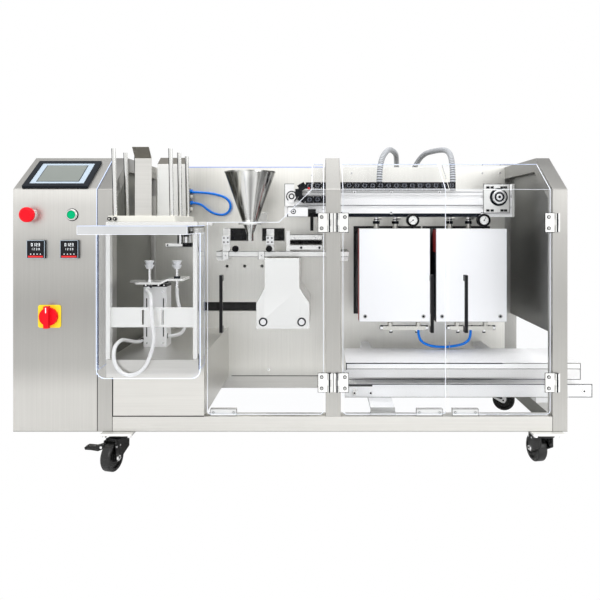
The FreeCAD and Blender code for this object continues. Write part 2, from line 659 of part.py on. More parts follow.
def runs_along(edge, direction):
    """Whether an edge is straight and parallel to a direction."""
    if edge.Curve.TypeId != "Part::GeomLine":
        return False
    return edge.tangentAt(edge.FirstParameter).cross(direction).Length < 1e-6


ALONG_X = FreeCAD.Vector(1, 0, 0)
ALONG_Y = FreeCAD.Vector(0, 1, 0)
ALONG_Z = FreeCAD.Vector(0, 0, 1)


# Base frame: a ring of square tube with a cross rail under the wall
def make_base_rails():
    side_length = "base_depth - tube_size"
    rails = [
        block("FrontRail", "left_inner", "front_face", "caster_height",
              "inner_width", "tube_size", "tube_size"),
        block("WallRail", "left_inner", "wall_face", "caster_height",
              "inner_width", "tube_size", "tube_size"),
        block("RearRail", "left_inner", "rear_face - tube_size", "caster_height",
              "inner_width", "tube_size", "tube_size"),
        block("LeftRail", "frame_left", "front_face + tube_size", "caster_height",
              "tube_size", side_length, "tube_size"),
        block("RightRail", "right_inner", "front_face + tube_size", "caster_height",
              "tube_size", side_length, "tube_size"),
    ]
    node(fused("BaseRails", rails), "base_rails")


# End arches: front post, lean, top rail and rear post in one bent frame
def make_end_arch(name, left):
    corners = [
        ("0", "caster_height"),
        ("0", "kink_height"),
        ("slant_run", "top_height"),
        ("wall_setback + tube_size", "top_height"),
        ("wall_setback + tube_size", "rail_top"),
        ("wall_setback", "rail_top"),
        ("wall_setback", "top_height - tube_size"),
        ("slant_run + high_corner", "top_height - tube_size"),
        ("tube_size", "kink_height - low_corner"),
        ("tube_size", "caster_height"),
    ]
    return extruded(name, "YZ_Plane", corners, "tube_size", left, "front_face")


# Middle arch: stands on the front rail and ends at the wall
def make_middle_arch():
    corners = [
        ("0", "rail_top"),
        ("0", "kink_height"),
        ("slant_run", "top_height"),
        ("wall_setback", "top_height"),
        ("wall_setback", "top_height - tube_size"),
        ("slant_run + high_corner", "top_height - tube_size"),
        ("tube_size", "kink_height - low_corner"),
        ("tube_size", "rail_top"),
    ]
    node(extruded("MiddleArch", "YZ_Plane", corners, "tube_size", "middle_left", "front_face"), "middle_arch")


def make_end_arches():
    rail = block("RearTopRail", "left_inner", "wall_back", "top_height - tube_size",
                 "inner_width", "tube_size - wall_thickness", "tube_size")
    arches = [make_end_arch("LeftArch", "frame_left"), make_end_arch("RightArch", "right_inner")]
    node(fused("EndArches", [*arches, rail]), "end_arches")


# Side panels fill the end arches
def make_side_panel(name, left, bottom):
    """A sheet with the inner outline of an end arch, down to its lower edge."""
    corners = [
        ("tube_size", bottom),
        ("tube_size", "kink_height - low_corner"),
        ("slant_run + high_corner", "top_height - tube_size"),
        ("wall_setback", "top_height - tube_size"),
        ("wall_setback", bottom),
    ]
    return extruded(name, "YZ_Plane", corners, "panel_thickness", left, "front_face")


def make_side_panels():
    panels = [
        make_side_panel("LeftPanel", "frame_left + tube_size / 2", "rail_top"),
        make_side_panel("RightPanel", "right_inner + tube_size / 2", "outfeed_window_top"),
    ]
    node(together("SidePanels", panels), "side_panels")


# Stainless wall with the drive slots and three round holes
def slot_window(left, bottom, length, height):
    return [
        (left, bottom),
        (f"{left} + {length}", bottom),
        (f"{left} + {length}", f"{bottom} + {height}"),
        (left, f"{bottom} + {height}"),
    ]


def make_rear_wall():
    corners = [("0", "rail_top"), ("inner_width", "rail_top"), ("inner_width", "top_height"), ("0", "top_height")]
    windows = [
        slot_window(f"drive_slot_first + {index} * drive_slot_pitch", "drive_slot_bottom", "drive_slot_length",
                    "drive_slot_height")
        for index in range(2)
    ]
    windows.append(slot_window("lift_slot_first", "lift_slot_bottom", "lift_slot_length", "lift_slot_height"))
    circles = [(f"wall_hole_first + {index} * wall_hole_pitch", "wall_hole_height", "wall_hole_radius")
               for index in range(3)]
    wall = extruded("RearWall", "XZ_Plane", corners, "wall_thickness", "left_inner", "wall_face",
                    windows=windows, circles=circles, back=True)
    node(wall, "rear_wall")


def make_rear_covers():
    shell = block("CoverShell", "frame_left", "post_back", "rail_top",
                  "frame_width", "rear_face - post_back", "top_height - rail_top")
    inside = block("CoverInside", "frame_left + cover_thickness", "post_back", "rail_top + cover_thickness",
                   "frame_width - 2 * cover_thickness", "rear_face - post_back - cover_thickness",
                   "top_height - rail_top - 2 * cover_thickness")
    panel = block("CabinetBack", "cabinet_left + cabinet_wall", "rear_face - cabinet_wall",
                  "caster_height + cabinet_wall", "cabinet_width - 2 * cabinet_wall", "cabinet_wall",
                  "top_height - caster_height - 2 * cabinet_wall")
    holes = [
        rod(f"ConduitHole{index}", "z", "conduit_hole_radius", "2 * cover_thickness",
            f"frame_left + conduit_hole_first + {index} * conduit_hole_pitch",
            "front_face + conduit_hole_setback", "top_height - 2 * cover_thickness")
        for index in range(2)
    ]
    cover = without("RearCover", shell, fused("CoverVoids", [inside, *holes]))
    node(together("RearCovers", [cover, panel]), "rear_covers")


# Control cabinet: sloped sheet case, open at the back where its own panel closes it
def make_cabinet():
    outer = [
        ("0", "caster_height"),
        ("0", "kink_height"),
        ("slant_run", "top_height"),
        ("base_depth", "top_height"),
        ("base_depth", "caster_height"),
    ]
    inner = [
        ("cabinet_wall", "caster_height + cabinet_wall"),
        ("cabinet_wall", "kink_height - cabinet_wall * tan(45 deg - slant_angle / 2)"),
        ("slant_run + cabinet_wall * tan(slant_angle / 2)", "top_height - cabinet_wall"),
        ("base_depth + cabinet_wall", "top_height - cabinet_wall"),
        ("base_depth + cabinet_wall", "caster_height + cabinet_wall"),
    ]
    case = extruded("CabinetOutside", "YZ_Plane", outer, "cabinet_width", "cabinet_left", "front_face")
    room = extruded("CabinetInside", "YZ_Plane", inner, "cabinet_width - 2 * cabinet_wall",
                    "cabinet_left + cabinet_wall", "front_face")
    holes = [
        rod("StopHole", "y", "stem_radius + slide_clearance", "cabinet_wall",
            "cabinet_left + stop_inset", "front_face", "button_height"),
        rod("StartHole", "y", "start_radius + slide_clearance", "cabinet_wall",
            "cabinet_left + start_inset", "front_face", "button_height"),
        rod("SwitchHole", "y", "knob_shaft_radius + slide_clearance", "cabinet_wall",
            "cabinet_left + switch_inset", "front_face", "switch_height"),
    ]
    node(without("ControlCabinet", case, fused("CabinetVoids", [room, *holes])), "control_cabinet")


# Touch screen on the cabinet's slope
def put_on_slope(item, across, up, out):
    """Place an object on the slope: across it, up it and out of it."""
    along = f"({up}) * cos(slant_angle) - ({out}) * sin(slant_angle)"
    height = f"({up}) * sin(slant_angle) + ({out}) * cos(slant_angle)"
    return put(item, f"cabinet_left + {across}", f"front_face + {along}", f"kink_height + {height}",
               "slant_angle", ALONG_X)


def make_screen():
    bezel = extruded("ScreenBezel", "XY_Plane",
                     [("0", "0"), ("screen_width", "0"), ("screen_width", "screen_height"), ("0", "screen_height")],
                     "screen_depth",
                     windows=[[("screen_border", "screen_border"),
                               ("screen_width - screen_border", "screen_border"),
                               ("screen_width - screen_border", "screen_height - screen_border"),
                               ("screen_border", "screen_height - screen_border")]])
    display = block("ScreenDisplay", "screen_border", "screen_border", "0",
                    "screen_width - 2 * screen_border", "screen_height - 2 * screen_border",
                    "screen_depth - screen_recess")
    screen = fused("TouchScreen", [bezel, display])
    node(put_on_slope(screen, "screen_inset", "screen_setback", "0"), "touch_screen")


# Push buttons with their collars, two controllers and the main switch
def make_controls():
    collars = []
    for word, inset, bore, depth in (("Stop", "stop_inset", "stem_radius", "stop_collar"),
                                     ("Start", "start_inset", "start_radius", "start_collar")):
        x = "cabinet_left + " + inset
        ring = rod(word + "Ring", "y", "collar_radius", depth, x, "front_face - " + depth, "button_height")
        hole = rod(word + "Bore", "y", bore + " + slide_clearance", depth, x, "front_face - " + depth,
                   "button_height")
        collars.append(without(word + "Collar", ring, hole))
    stop_x = "cabinet_left + stop_inset"
    head = turned("StopHead", "XZ_Plane",
                  [("0", "0"), ("stop_radius - stop_bevel", "0"), ("stop_radius", "stop_bevel"),
                   ("stop_radius", "stop_head"), ("0", "stop_head")])
    head.Placement = FreeCAD.Placement(FreeCAD.Vector(), MAIN_AXES["y"])
    put(head, stop_x, "front_face - stop_reach", "button_height")
    stem = rod("StopStem", "y", "stem_radius", "stop_reach - stop_head + stem_inside", stop_x,
               "front_face - stop_reach + stop_head", "button_height")
    node(fused("StopButton", [head, stem]), "stop_button")
    cap = rod("StartButton", "y", "start_radius", "start_reach + stem_inside",
              "cabinet_left + start_inset", "front_face - start_reach", "button_height")
    node(cap, "start_button")
    meters = [
        block(f"Controller{index}",
              f"cabinet_left + controller_left + {index} * controller_pitch - controller_size / 2",
              "front_face - controller_depth", "controller_height - controller_size / 2",
              "controller_size", "controller_depth", "controller_size")
        for index in range(2)
    ]
    switch_x = "cabinet_left + switch_inset"
    plate = extruded("SwitchPlate", "XZ_Plane",
                     [("0 - switch_plate_size / 2", "0 - switch_plate_size / 2"),
                      ("switch_plate_size / 2", "0 - switch_plate_size / 2"),
                      ("switch_plate_size / 2", "switch_plate_size / 2"),
                      ("0 - switch_plate_size / 2", "switch_plate_size / 2")],
                     "switch_plate_depth", switch_x, "front_face", "switch_height",
                     circles=[("0", "0", "knob_shaft_radius + slide_clearance")])
    round_edges(plate, "switch_plate_depth * 2", lambda edge: runs_along(edge, ALONG_Y))
    node(together("PanelFittings", [*collars, *meters, plate]), "panel_fittings")
    knob_y = "front_face - switch_plate_depth - slide_clearance - knob_foot"
    foot = rod("KnobFoot", "y", "knob_radius", "knob_foot", switch_x, knob_y, "switch_height")
    grip = block("KnobGrip", switch_x + " - knob_grip_width / 2", knob_y + " - knob_grip",
                 "switch_height - knob_grip_length / 2", "knob_grip_width", "knob_grip", "knob_grip_length")
    shaft = rod("KnobShaft", "y", "knob_shaft_radius",
                "switch_plate_depth + slide_clearance + stem_inside", switch_x,
                knob_y + " + knob_foot", "switch_height")
    node(fused("SwitchKnob", [foot, grip, shaft]), "switch_knob")


# Infeed deck, the panel under it and the partition beside it
def make_infeed_deck():
    corners = [
        ("0", "deck_height - deck_lip"),
        ("0", "deck_height"),
        ("deck_reach + wall_setback", "deck_height"),
        ("deck_reach + wall_setback", "deck_height - deck_thickness"),
        ("deck_thickness", "deck_height - deck_thickness"),
        ("deck_thickness", "deck_height - deck_lip"),
    ]
    deck = extruded("InfeedDeck", "YZ_Plane", corners, "partition_left - left_inner", "left_inner", "deck_front")
    front = block("InfeedFrontPanel", "left_inner", "front_face", "rail_top",
                  "partition_left - left_inner", "panel_thickness", "deck_height - deck_thickness - rail_top")
    partition = block("Partition", "partition_left", "front_face", "rail_top",
                      "partition_thickness", "wall_setback", "partition_height - rail_top")
    node(fused("InfeedDeck", [deck, front, partition]), "infeed_deck")


# Clear shelf with a turned down rim and the clear guard under it
def make_infeed_guard():
    shelf = block("ShelfBlank", "frame_left + shelf_inset", "front_face - shelf_reach",
                  "shelf_height - shelf_rim", "shelf_width", "shelf_reach", "shelf_rim")
    hollow = block("ShelfHollow", "frame_left + shelf_inset + shelf_sheet",
                   "front_face - shelf_reach + shelf_sheet", "shelf_height - shelf_rim",
                   "shelf_width - 2 * shelf_sheet", "shelf_reach - shelf_sheet", "shelf_rim - shelf_sheet")
    bent_shelf = without("InfeedShelf", shelf, hollow)
    height = "shelf_height - shelf_rim - guard_bottom"
    front = extruded("GuardFront", "XZ_Plane",
                     [("0", "0"), ("guard_width", "0"), ("guard_width", height), ("0", height)],
                     "guard_sheet", "frame_left + guard_inset", "front_face - guard_reach", "guard_bottom",
                     back=True)
    round_edges(front, "guard_corner",
                lambda edge: runs_along(edge, ALONG_Y) and edge.BoundBox.ZMax < size("guard_corner"))
    sides = [
        block(f"GuardSide{index}",
              f"frame_left + guard_inset + {index} * (guard_width - guard_sheet)",
              "front_face - guard_reach + guard_sheet", "guard_bottom + guard_corner", "guard_sheet",
              "guard_reach - guard_sheet", height + " - guard_corner")
        for index in range(2)
    ]
    node(fused("InfeedGuard", [bent_shelf, front, *sides]), "infeed_guard")


# Magazine: uprights, slotted plate, carrier, cream bars, rods and guide plates
def make_guide(name, inset, width, y, height, run, rise):
    """An upright plate on the carrier with a leaning lip; a run below zero leans to the operator."""
    corners = [
        ("0", "0"),
        ("0", height),
        (run, f"{height} + {rise}"),
        (f"{run} + guide_thickness", f"{height} + {rise}"),
        ("guide_thickness", height),
        ("guide_thickness", "0"),
    ]
    return extruded(name, "YZ_Plane", corners, width, f"frame_left + {inset}", y,
                    "shelf_height + carrier_thickness")


def make_magazine():
    bar_y = "deck_front + upright_setback"
    bars = [
        block(f"Upright{index}",
              f"frame_left + upright_left + {index} * (upright_span - upright_width)",
              bar_y, "deck_height", "upright_width", "upright_depth", "shelf_under - deck_height")
        for index in range(2)
    ]
    plate_width = "upright_span - 2 * upright_width"
    slots = [
        slot_window(f"cross_slot_first + {index} * cross_slot_pitch - cross_slot_width / 2",
                    "(cross_plate_height - cross_slot_height) / 2", "cross_slot_width", "cross_slot_height")
        for index in range(2)
    ]
    plate = extruded("CrossPlate", "XZ_Plane",
                     [("0", "0"), (plate_width, "0"), (plate_width, "cross_plate_height"),
                      ("0", "cross_plate_height")],
                     "cross_plate_depth", "frame_left + upright_left + upright_width",
                     bar_y + " + upright_depth / 2", "cross_plate_bottom", windows=slots, back=True)
    bar_top = "shelf_height + carrier_thickness"
    carrier = [
        block("CarrierFront", "frame_left + upright_left", bar_y, "shelf_height",
              "upright_span", "carrier_bar", "carrier_thickness"),
        block("CarrierRear", "frame_left + upright_left", bar_y + " + magazine_depth - carrier_bar",
              "shelf_height", "upright_span", "carrier_bar", "carrier_thickness"),
        block("CarrierArm", "frame_left + upright_left + upright_span / 2 - carrier_bar",
              bar_y + " + magazine_depth", "shelf_height", "2 * carrier_bar",
              "wall_face - deck_front - upright_setback - magazine_depth", "carrier_thickness"),
    ]
    rear_guide = make_guide("RearGuide", "rear_guide_inset", "rear_guide_width",
                            "front_face + rear_guide_setback", "rear_guide_height", "rear_guide_run",
                            "rear_guide_rise")
    front_guide = make_guide("FrontGuide", "guide_inset", "guide_width", bar_y + " + magazine_bar_width",
                             "guide_height", "0 - guide_run", "guide_rise")
    frame = [fused("MagazineUprights", [*bars, plate]), fused("MagazineCarrier", [*carrier, rear_guide]),
             front_guide]
    node(together("MagazineFrame", frame), "magazine_frame")
    cream = [
        block(f"MagazineBar{index}",
              f"frame_left + magazine_first + {index} * magazine_pitch - magazine_bar_width / 2",
              bar_y, bar_top, "magazine_bar_width", "magazine_depth", "magazine_bar_height")
        for index in range(2)
    ]
    cream.append(block("MagazineFrontBar", "frame_left + magazine_first - magazine_bar_width / 2", bar_y,
                       bar_top, "magazine_pitch + magazine_bar_width", "magazine_bar_width",
                       "magazine_bar_height"))
    bars_whole = fused("MagazineBars", cream)
    node(bars_whole, "magazine_bars")
    rods = []
    for row in range(2):
        for place in range(3):
            pin = rod(f"MagazineRod{row}{place}", "z", "rod_radius", "rod_length", "0", "0", "0")
            put(pin, f"frame_left + magazine_first + {row} * magazine_pitch",
                f"{bar_y} + rod_first + {place} * rod_pitch",
                bar_top + " + magazine_bar_height - rod_sink", "rod_lean * 1 deg", ALONG_X)
            rods.append(pin)
    node(without("MagazineRods", together("LeaningRods", rods), bars_whole), "magazine_rods")


def make_lift():
    block_x = "frame_left + lift_inset"
    block_y = "front_face + lift_setback"
    body = block("LiftBody", block_x, block_y, "deck_height", "lift_width", "lift_depth", "lift_height + lift_head")
    ports = [
        rod("LiftPortLeft", "y", "lift_port_radius", "left_port_length", block_x + " - left_port_inset",
            block_y + " + left_port_setback", "deck_height + left_port_height"),
        rod("LiftPortRight", "x", "lift_port_radius", "right_port_reach", block_x + " + lift_width",
            block_y + " + right_port_setback", "deck_height + right_port_height"),
    ]
    node(fused("LiftCylinder", [body, *ports]), "lift_cylinder")
    strip = extruded("ArmStrip", "XZ_Plane",
                     [("0", "0"), ("arm_low_end", "0"), ("arm_low_end + arm_slope_run", "arm_step"),
                      ("arm_length", "arm_step"), ("arm_length", "arm_step + arm_thickness"),
                      ("arm_low_end + arm_slope_run", "arm_step + arm_thickness"),
                      ("arm_low_end", "arm_thickness"), ("0", "arm_thickness")],
                     "arm_depth", "frame_left + arm_inset", "front_face + arm_setback", "arm_bottom", back=True)
    ear = block("ArmEar", "frame_left + arm_inset - arm_ear_reach",
                "front_face + arm_setback + arm_depth - arm_ear_depth", "arm_bottom",
                "2 * arm_ear_reach", "arm_ear_depth", "arm_thickness")
    holes = []
    cups = []
    for index in range(2):
        x = f"frame_left + cup_first + {index} * cup_pitch"
        y = "front_face + cup_setback"
        seat = f"(arm_bottom + arm_thickness + {index} * arm_step)"
        holes.append(rod(f"CupHole{index}", "z", "cup_stem_radius + slide_clearance",
                         "arm_step + 2 * arm_thickness", x, y, "arm_bottom - arm_thickness / 2"))
        cups.append(make_cup(index, x, y, seat))
    arm = without("SuctionArm", fused("ArmWhole", [strip, ear]), fused("CupHoles", holes))
    node(arm, "suction_arm")
    node(together("SuctionCups", cups), "suction_cups")


def make_cup(index, x, y, seat):
    """Stem with its nut on the arm and a bellows of two lips; the first has an elbow under it."""
    cup_top = "cup_bottom + cup_height"
    cup = turned(f"Cup{index}", "XZ_Plane",
                 [("0", "cup_stem_foot"), ("cup_stem_radius", "cup_stem_foot"), ("cup_stem_radius", seat),
                  ("cup_nut_radius", seat), ("cup_nut_radius", seat + " + cup_nut_height"),
                  ("cup_stem_radius", seat + " + cup_nut_height"), ("cup_stem_radius", "cup_bottom"),
                  ("cup_waist", "cup_bottom"), ("cup_radius", "cup_bottom + cup_height / 2"),
                  ("cup_waist", "cup_bottom + cup_height / 2"), ("cup_radius", cup_top),
                  ("0", cup_top + " - cup_dish")],
                 x, y)
    if index == 1:
        return cup
    elbow = rod("CupElbow", "y", "cup_elbow_radius", "cup_elbow_reach + cup_elbow_radius", x,
                y + " - cup_elbow_reach", "cup_stem_foot")
    return fused("ElbowedCup", [cup, elbow])


# Funnel turned from one outline, and its ring on an arm from the wall
def make_funnel():
    outline = [
        ("spout_bore", "spout_bottom"),
        ("spout_outer", "spout_bottom"),
        ("spout_outer", "cone_start"),
        ("funnel_rim_radius", "funnel_rim_height - funnel_bead"),
        ("funnel_rim_radius + funnel_wall", "funnel_rim_height - funnel_bead"),
        ("funnel_rim_radius + funnel_wall", "funnel_rim_height"),
        ("funnel_rim_radius - funnel_wall", "funnel_rim_height"),
        ("funnel_rim_radius - funnel_wall", "funnel_rim_height - funnel_bead"),
        ("spout_bore", "cone_start"),
    ]
    node(turned("Funnel", "XZ_Plane", outline, "funnel_x", "funnel_y"), "funnel")
    low = "spout_outer + slide_clearance + (bracket_height - bracket_thickness - cone_start) * cone_slope"
    high = "spout_outer + slide_clearance + (bracket_height - cone_start) * cone_slope"
    ring = turned("FunnelRing", "XZ_Plane",
                  [(low, "bracket_height - bracket_thickness"),
                   (high + " + ring_width", "bracket_height - bracket_thickness"),
                   (high + " + ring_width", "bracket_height"), (high, "bracket_height")],
                  "funnel_x", "funnel_y")
    arm = block("FunnelArm", "funnel_x - bracket_width / 2", f"funnel_y + {high} + ring_width / 2",
                "bracket_height - bracket_thickness", "bracket_width",
                f"wall_face - funnel_y - ring_width / 2 - ({high})", "bracket_thickness")
    foot = block("FunnelFoot", "funnel_x - bracket_width", "wall_face - bracket_thickness",
                 "bracket_height", "2 * bracket_width", "bracket_thickness", "bracket_width")
    node(fused("FunnelBracket", [ring, arm, foot]), "funnel_bracket")


# Gripper bar on two arms, white gripper blocks with their jaws, pouch support
def make_slide():
    """Two rails with a toothed rack between them, held by one end plate on the bar."""
    x = "frame_left + slide_first"
    low = "gripper_bar_height + slide_low"
    rack_z = low + " + slide_rail + rack_gap"
    rails = [
        block(f"SlideRail{index}", x, "gripper_y",
              f"{low} + {index} * (slide_rail + 2 * rack_gap + rack_height)", "slide_length", "slide_depth",
              "slide_rail")
        for index in range(2)
    ]
    end = block("SlideEnd", x, "gripper_y", "gripper_bar_height", "slide_end", "slide_depth", "slide_end_height")
    rack = block("SlideRack", x, "gripper_y + rack_inset", rack_z, "slide_length", "slide_depth - rack_inset",
                 "rack_height")
    count = int(size("slide_length") / size("rack_tooth")) - 2
    gaps = [
        block(f"RackGap{index}", f"{x} + slide_end + {index} * rack_tooth", "gripper_y",
              rack_z, "rack_tooth / 2", "2 * rack_inset", "rack_height")
        for index in range(count)
    ]
    return [*rails, end, without("ToothedRack", rack, fused("RackGaps", gaps))]


def make_grippers():
    bar_x = "frame_left + gripper_bar_offset"
    bar_z = "gripper_bar_height - gripper_bar_size"
    bar = block("GripperRail", bar_x, "gripper_y", bar_z, "gripper_bar_length", "gripper_bar_size",
                "gripper_bar_size")
    parts = [bar, *make_slide()]
    for index in range(2):
        parts.append(block(f"GripperArm{index}",
                           f"{bar_x} + {index} * (gripper_bar_length - gripper_arm_width)",
                           "gripper_y + gripper_bar_size", "gripper_bar_height - gripper_arm_height",
                           "gripper_arm_width", "wall_face - gripper_y - gripper_bar_size",
                           "gripper_arm_height"))
        parts.append(block(f"BarClamp{index}", f"frame_left + clamp_first + {index} * clamp_pitch",
                           "gripper_y - (clamp_depth - gripper_bar_size) / 2", bar_z + " - clamp_drop",
                           "clamp_width", "clamp_depth", "clamp_height"))
        parts.append(rod(f"BarKnob{index}", "y", "bar_knob_radius", "bar_knob_reach",
                         f"frame_left + bar_knob_first + {index} * bar_knob_pitch",
                         "gripper_y - bar_knob_reach", "gripper_bar_height + bar_knob_rise"))
    node(fused("GripperBar", parts), "gripper_bar")
    blocks = []
    for index in range(2):
        x = f"frame_left + gripper_first + {index} * gripper_pitch"
        clamp_top = f"gripper_bar_height + {1 - index} * (clamp_height - clamp_drop - gripper_bar_size)"
        leaf = block(f"GripperLeaf{index}", x, "gripper_y + gripper_leaf", clamp_top, "gripper_block_width",
                     "gripper_leaf", "gripper_leaf_height")
        pad = block(f"GripperPad{index}", x, "gripper_y + gripper_leaf - gripper_block_depth",
                    "gripper_bar_height + gripper_block_rise", "gripper_block_width", "gripper_block_depth",
                    "gripper_block_height")
        blocks.append(fused(f"GripperBlock{index}", [leaf, pad]))
    node(together("GripperBlocks", blocks), "gripper_blocks")


# Pouch support: a front sheet, wide at the foot, with both sides bent back to the wall
def support_outline(sheet):
    """The support's front outline, drawn in at its sides by a sheet's thickness."""
    top = "gripper_bar_height - gripper_bar_size - support_bottom"
    return [
        (f"{sheet}", "0"),
        (f"support_width - {sheet}", "0"),
        (f"support_width - {sheet}", "support_shoulder"),
        (f"support_neck_right - {sheet}", "support_neck"),
        (f"support_neck_right - {sheet}", top),
        (f"support_neck_left + {sheet}", top),
        (f"support_neck_left + {sheet}", "support_neck"),
        (f"{sheet}", "support_shoulder"),
    ]


def make_support():
    x = "frame_left + support_offset"
    y = "front_face + support_setback"
    outside = extruded("SupportOutside", "XZ_Plane", support_outline("0"), "wall_setback - support_setback", x,
                       y, "support_bottom", back=True)
    inside = extruded("SupportInside", "XZ_Plane", support_outline("support_thickness"),
                      "wall_setback - support_setback - support_thickness", x, y + " + support_thickness",
                      "support_bottom", back=True)
    screws = [
        rod(f"ThumbScrew{index}", "y", "thumb_radius", "thumb_reach", f"{x} + thumb_first + {index} * thumb_pitch",
            y + " - thumb_reach", "support_bottom + thumb_height")
        for index in range(2)
    ]
    node(fused("PouchSupport", [without("SupportSheet", outside, inside), *screws]), "pouch_support")


# Transfer beam with two grooves, arms, end plates and the drive pulley
def groove(x_face, low):
    """The four corners that cut one groove into a face of the beam outline."""
    return [(x_face, low), ("beam_slot_depth", low), ("beam_slot_depth", low + " + beam_slot"),
            (x_face, low + " + beam_slot")]


def make_beam():
    corners = [("0", "0")]
    for low in ("beam_groove_low", "beam_groove_high"):
        corners += groove("0", low)
    corners += [("0", "beam_height"), ("beam_depth", "beam_height"), ("beam_depth", "0")]
    beam = extruded("TransferBeam", "YZ_Plane", corners, "beam_length", "beam_left", "beam_front",
                    "beam_bottom")
    node(beam, "transfer_beam")
    arms = [
        block(f"BeamArm{index}", f"beam_left + beam_arm_first + {index} * beam_arm_pitch",
              "beam_front + beam_depth", "beam_bottom", "beam_arm_width",
              "wall_setback - beam_setback - beam_depth", "beam_height")
        for index in range(2)
    ]
    ends = [
        block(f"EndPlate{index}",
              f"beam_left - end_plate_thickness + {index} * (beam_length + end_plate_thickness)",
              "beam_front", "beam_bottom", "end_plate_thickness", "beam_depth", "end_plate_height")
        for index in range(2)
    ]
    tray = block("ChainTray", "frame_left + chain_offset", "chain_front", "beam_top",
                 "chain_upper * chain_pitch", "chain_width + beam_depth / 2", "tray_thickness")
    drive_x = "beam_left + beam_length - drive_plate_inset"
    plate = block("DrivePlate", drive_x, "beam_front - drive_plate_thickness", "beam_bottom + drive_plate_rise",
                  "drive_plate_width", "drive_plate_thickness", "drive_plate_height")
    pulley = rod("Pulley", "y", "pulley_radius", "pulley_depth", drive_x + " + pulley_inset",
                 "beam_front - drive_plate_thickness - pulley_depth", "beam_bottom + pulley_rise")
    node(together("BeamBrackets", [*arms, *ends, tray, fused("BeamDrive", [plate, pulley]), *make_beam_foot()]),
         "beam_brackets")


def make_beam_foot():
    """Bearing plate and small motor at the beam's left end."""
    bearing_x = "beam_left - end_plate_thickness"
    bearing_y = "beam_front - drive_plate_thickness"
    plate = block("BearingPlate", bearing_x, bearing_y, "beam_bottom + bearing_rise", "bearing_width",
                  "drive_plate_thickness", "bearing_height")
    bearing = rod("Bearing", "y", "bearing_radius", "bearing_reach",
                  bearing_x + " + bearing_width - bearing_radius", bearing_y + " - bearing_reach",
                  "beam_bottom + bearing_rise + 2 * bearing_radius")
    motor_x = "beam_left + motor_block_first"
    motor_y = "beam_front - motor_depth / 2"
    housing = block("MotorBlock", motor_x, "beam_front - motor_depth", "beam_bottom", "motor_block_length",
                    "motor_depth", "motor_block_height")
    motor = rod("Motor", "x", "motor_radius", "motor_length", motor_x + " + motor_block_length", motor_y,
                "beam_bottom + motor_radius")
    stub = rod("MotorStub", "z", "motor_shaft_radius", "motor_shaft_drop + motor_radius",
               motor_x + " + motor_block_length + motor_length / 2", motor_y, "beam_bottom - motor_shaft_drop")
    return [fused("BearingWhole", [plate, bearing]), fused("MotorWhole", [housing, motor, stub])]


# Drag chain: a lower run, half a turn round the bend and the upper run on its tray
def chain_link(x, z, tilt):
    """One link with a recess in both sides, at the middle of its pitch."""
    length = size("chain_pitch") - size("chain_gap")
    height = size("chain_height")
    width = size("chain_width")
    recess = [size("chain_recess_length"), size("chain_recess_depth"), size("chain_recess_height")]
    corner = FreeCAD.Vector(-recess[0] / 2, 0, -recess[2] / 2)
    link = Part.makeBox(length, width, height, FreeCAD.Vector(-length / 2, 0, -height / 2))
    link = link.cut(Part.makeBox(*recess, corner))
    link = link.cut(Part.makeBox(*recess, corner + FreeCAD.Vector(0, width - recess[1], 0)))
    link.rotate(FreeCAD.Vector(), ALONG_Y, tilt)
    link.translate(FreeCAD.Vector(x, 0, z))
    return link


def make_chain():
    pitch = size("chain_pitch")
    bend = size("chain_bend")
    centre_x = size("frame_left") + size("chain_offset")
    top_z = size("beam_top") + size("tray_thickness") + size("chain_height") / 2
    centre_z = top_z - bend
    turns = max(2, round(math.pi * bend / pitch))
    spots = []
    for step in range(int(size("chain_upper"))):
        spots.append((centre_x + pitch * (step + 0.5), top_z, 0))
    for step in range(turns):
        angle = math.pi * (step + 0.5) / turns
        spots.append((centre_x - bend * math.sin(angle), centre_z + bend * math.cos(angle),
                      -math.degrees(angle)))
    for step in range(int(size("chain_lower"))):
        spots.append((centre_x + pitch * (step + 0.5), centre_z - bend, 180))
    links = [chain_link(*spot) for spot in spots]
    pins = []
    inset = size("chain_pin_inset")
    joints = [(centre_x + pitch * step, top_z) for step in range(int(size("chain_upper")))]
    joints += [(centre_x - bend * math.sin(math.pi * step / turns),
                centre_z + bend * math.cos(math.pi * step / turns)) for step in range(1, turns)]
    joints += [(centre_x + pitch * step, centre_z - bend) for step in range(int(size("chain_lower")))]
    for x, z in joints:
        start = FreeCAD.Vector(x, inset, z)
        pins.append(Part.makeCylinder(size("chain_pin_radius"), size("chain_width") - 2 * inset, start, ALONG_Y))
    chain = doc.addObject("Part::Feature", "DragChain")
    chain.Shape = links[0].multiFuse(links[1:] + pins)
    node(put(chain, "0", "chain_front", "0"), "drag_chain")


# Vacuum chambers: body on the wall, red seal, white cover, gauge and ports
def chamber_sheet(name, index, inset, depth, y, corner=None, window=None):
    """A plate with a chamber's outline, inside the cover's by an inset."""
    width = f"chamber_width - 2 * ({inset})"
    height = f"chamber_height - 2 * ({inset})"
    windows = []
    if window:
        windows.append([(window, window), (f"{width} - {window}", window),
                        (f"{width} - {window}", f"{height} - {window}"), (window, f"{height} - {window}")])
    sheet = extruded(name, "XZ_Plane", [("0", "0"), (width, "0"), (width, height), ("0", height)], depth,
                     f"chamber_left + {index} * chamber_pitch + {inset}", y, f"chamber_bottom + {inset}",
                     windows=windows, back=True)
    if corner:
        outer = size("chamber_width") - 2 * size(inset)
        round_edges(sheet, corner, lambda edge: runs_along(edge, ALONG_Y)
                    and (edge.BoundBox.XMin < size(corner) / 2 or edge.BoundBox.XMax > outer - size(corner) / 2))
    return sheet


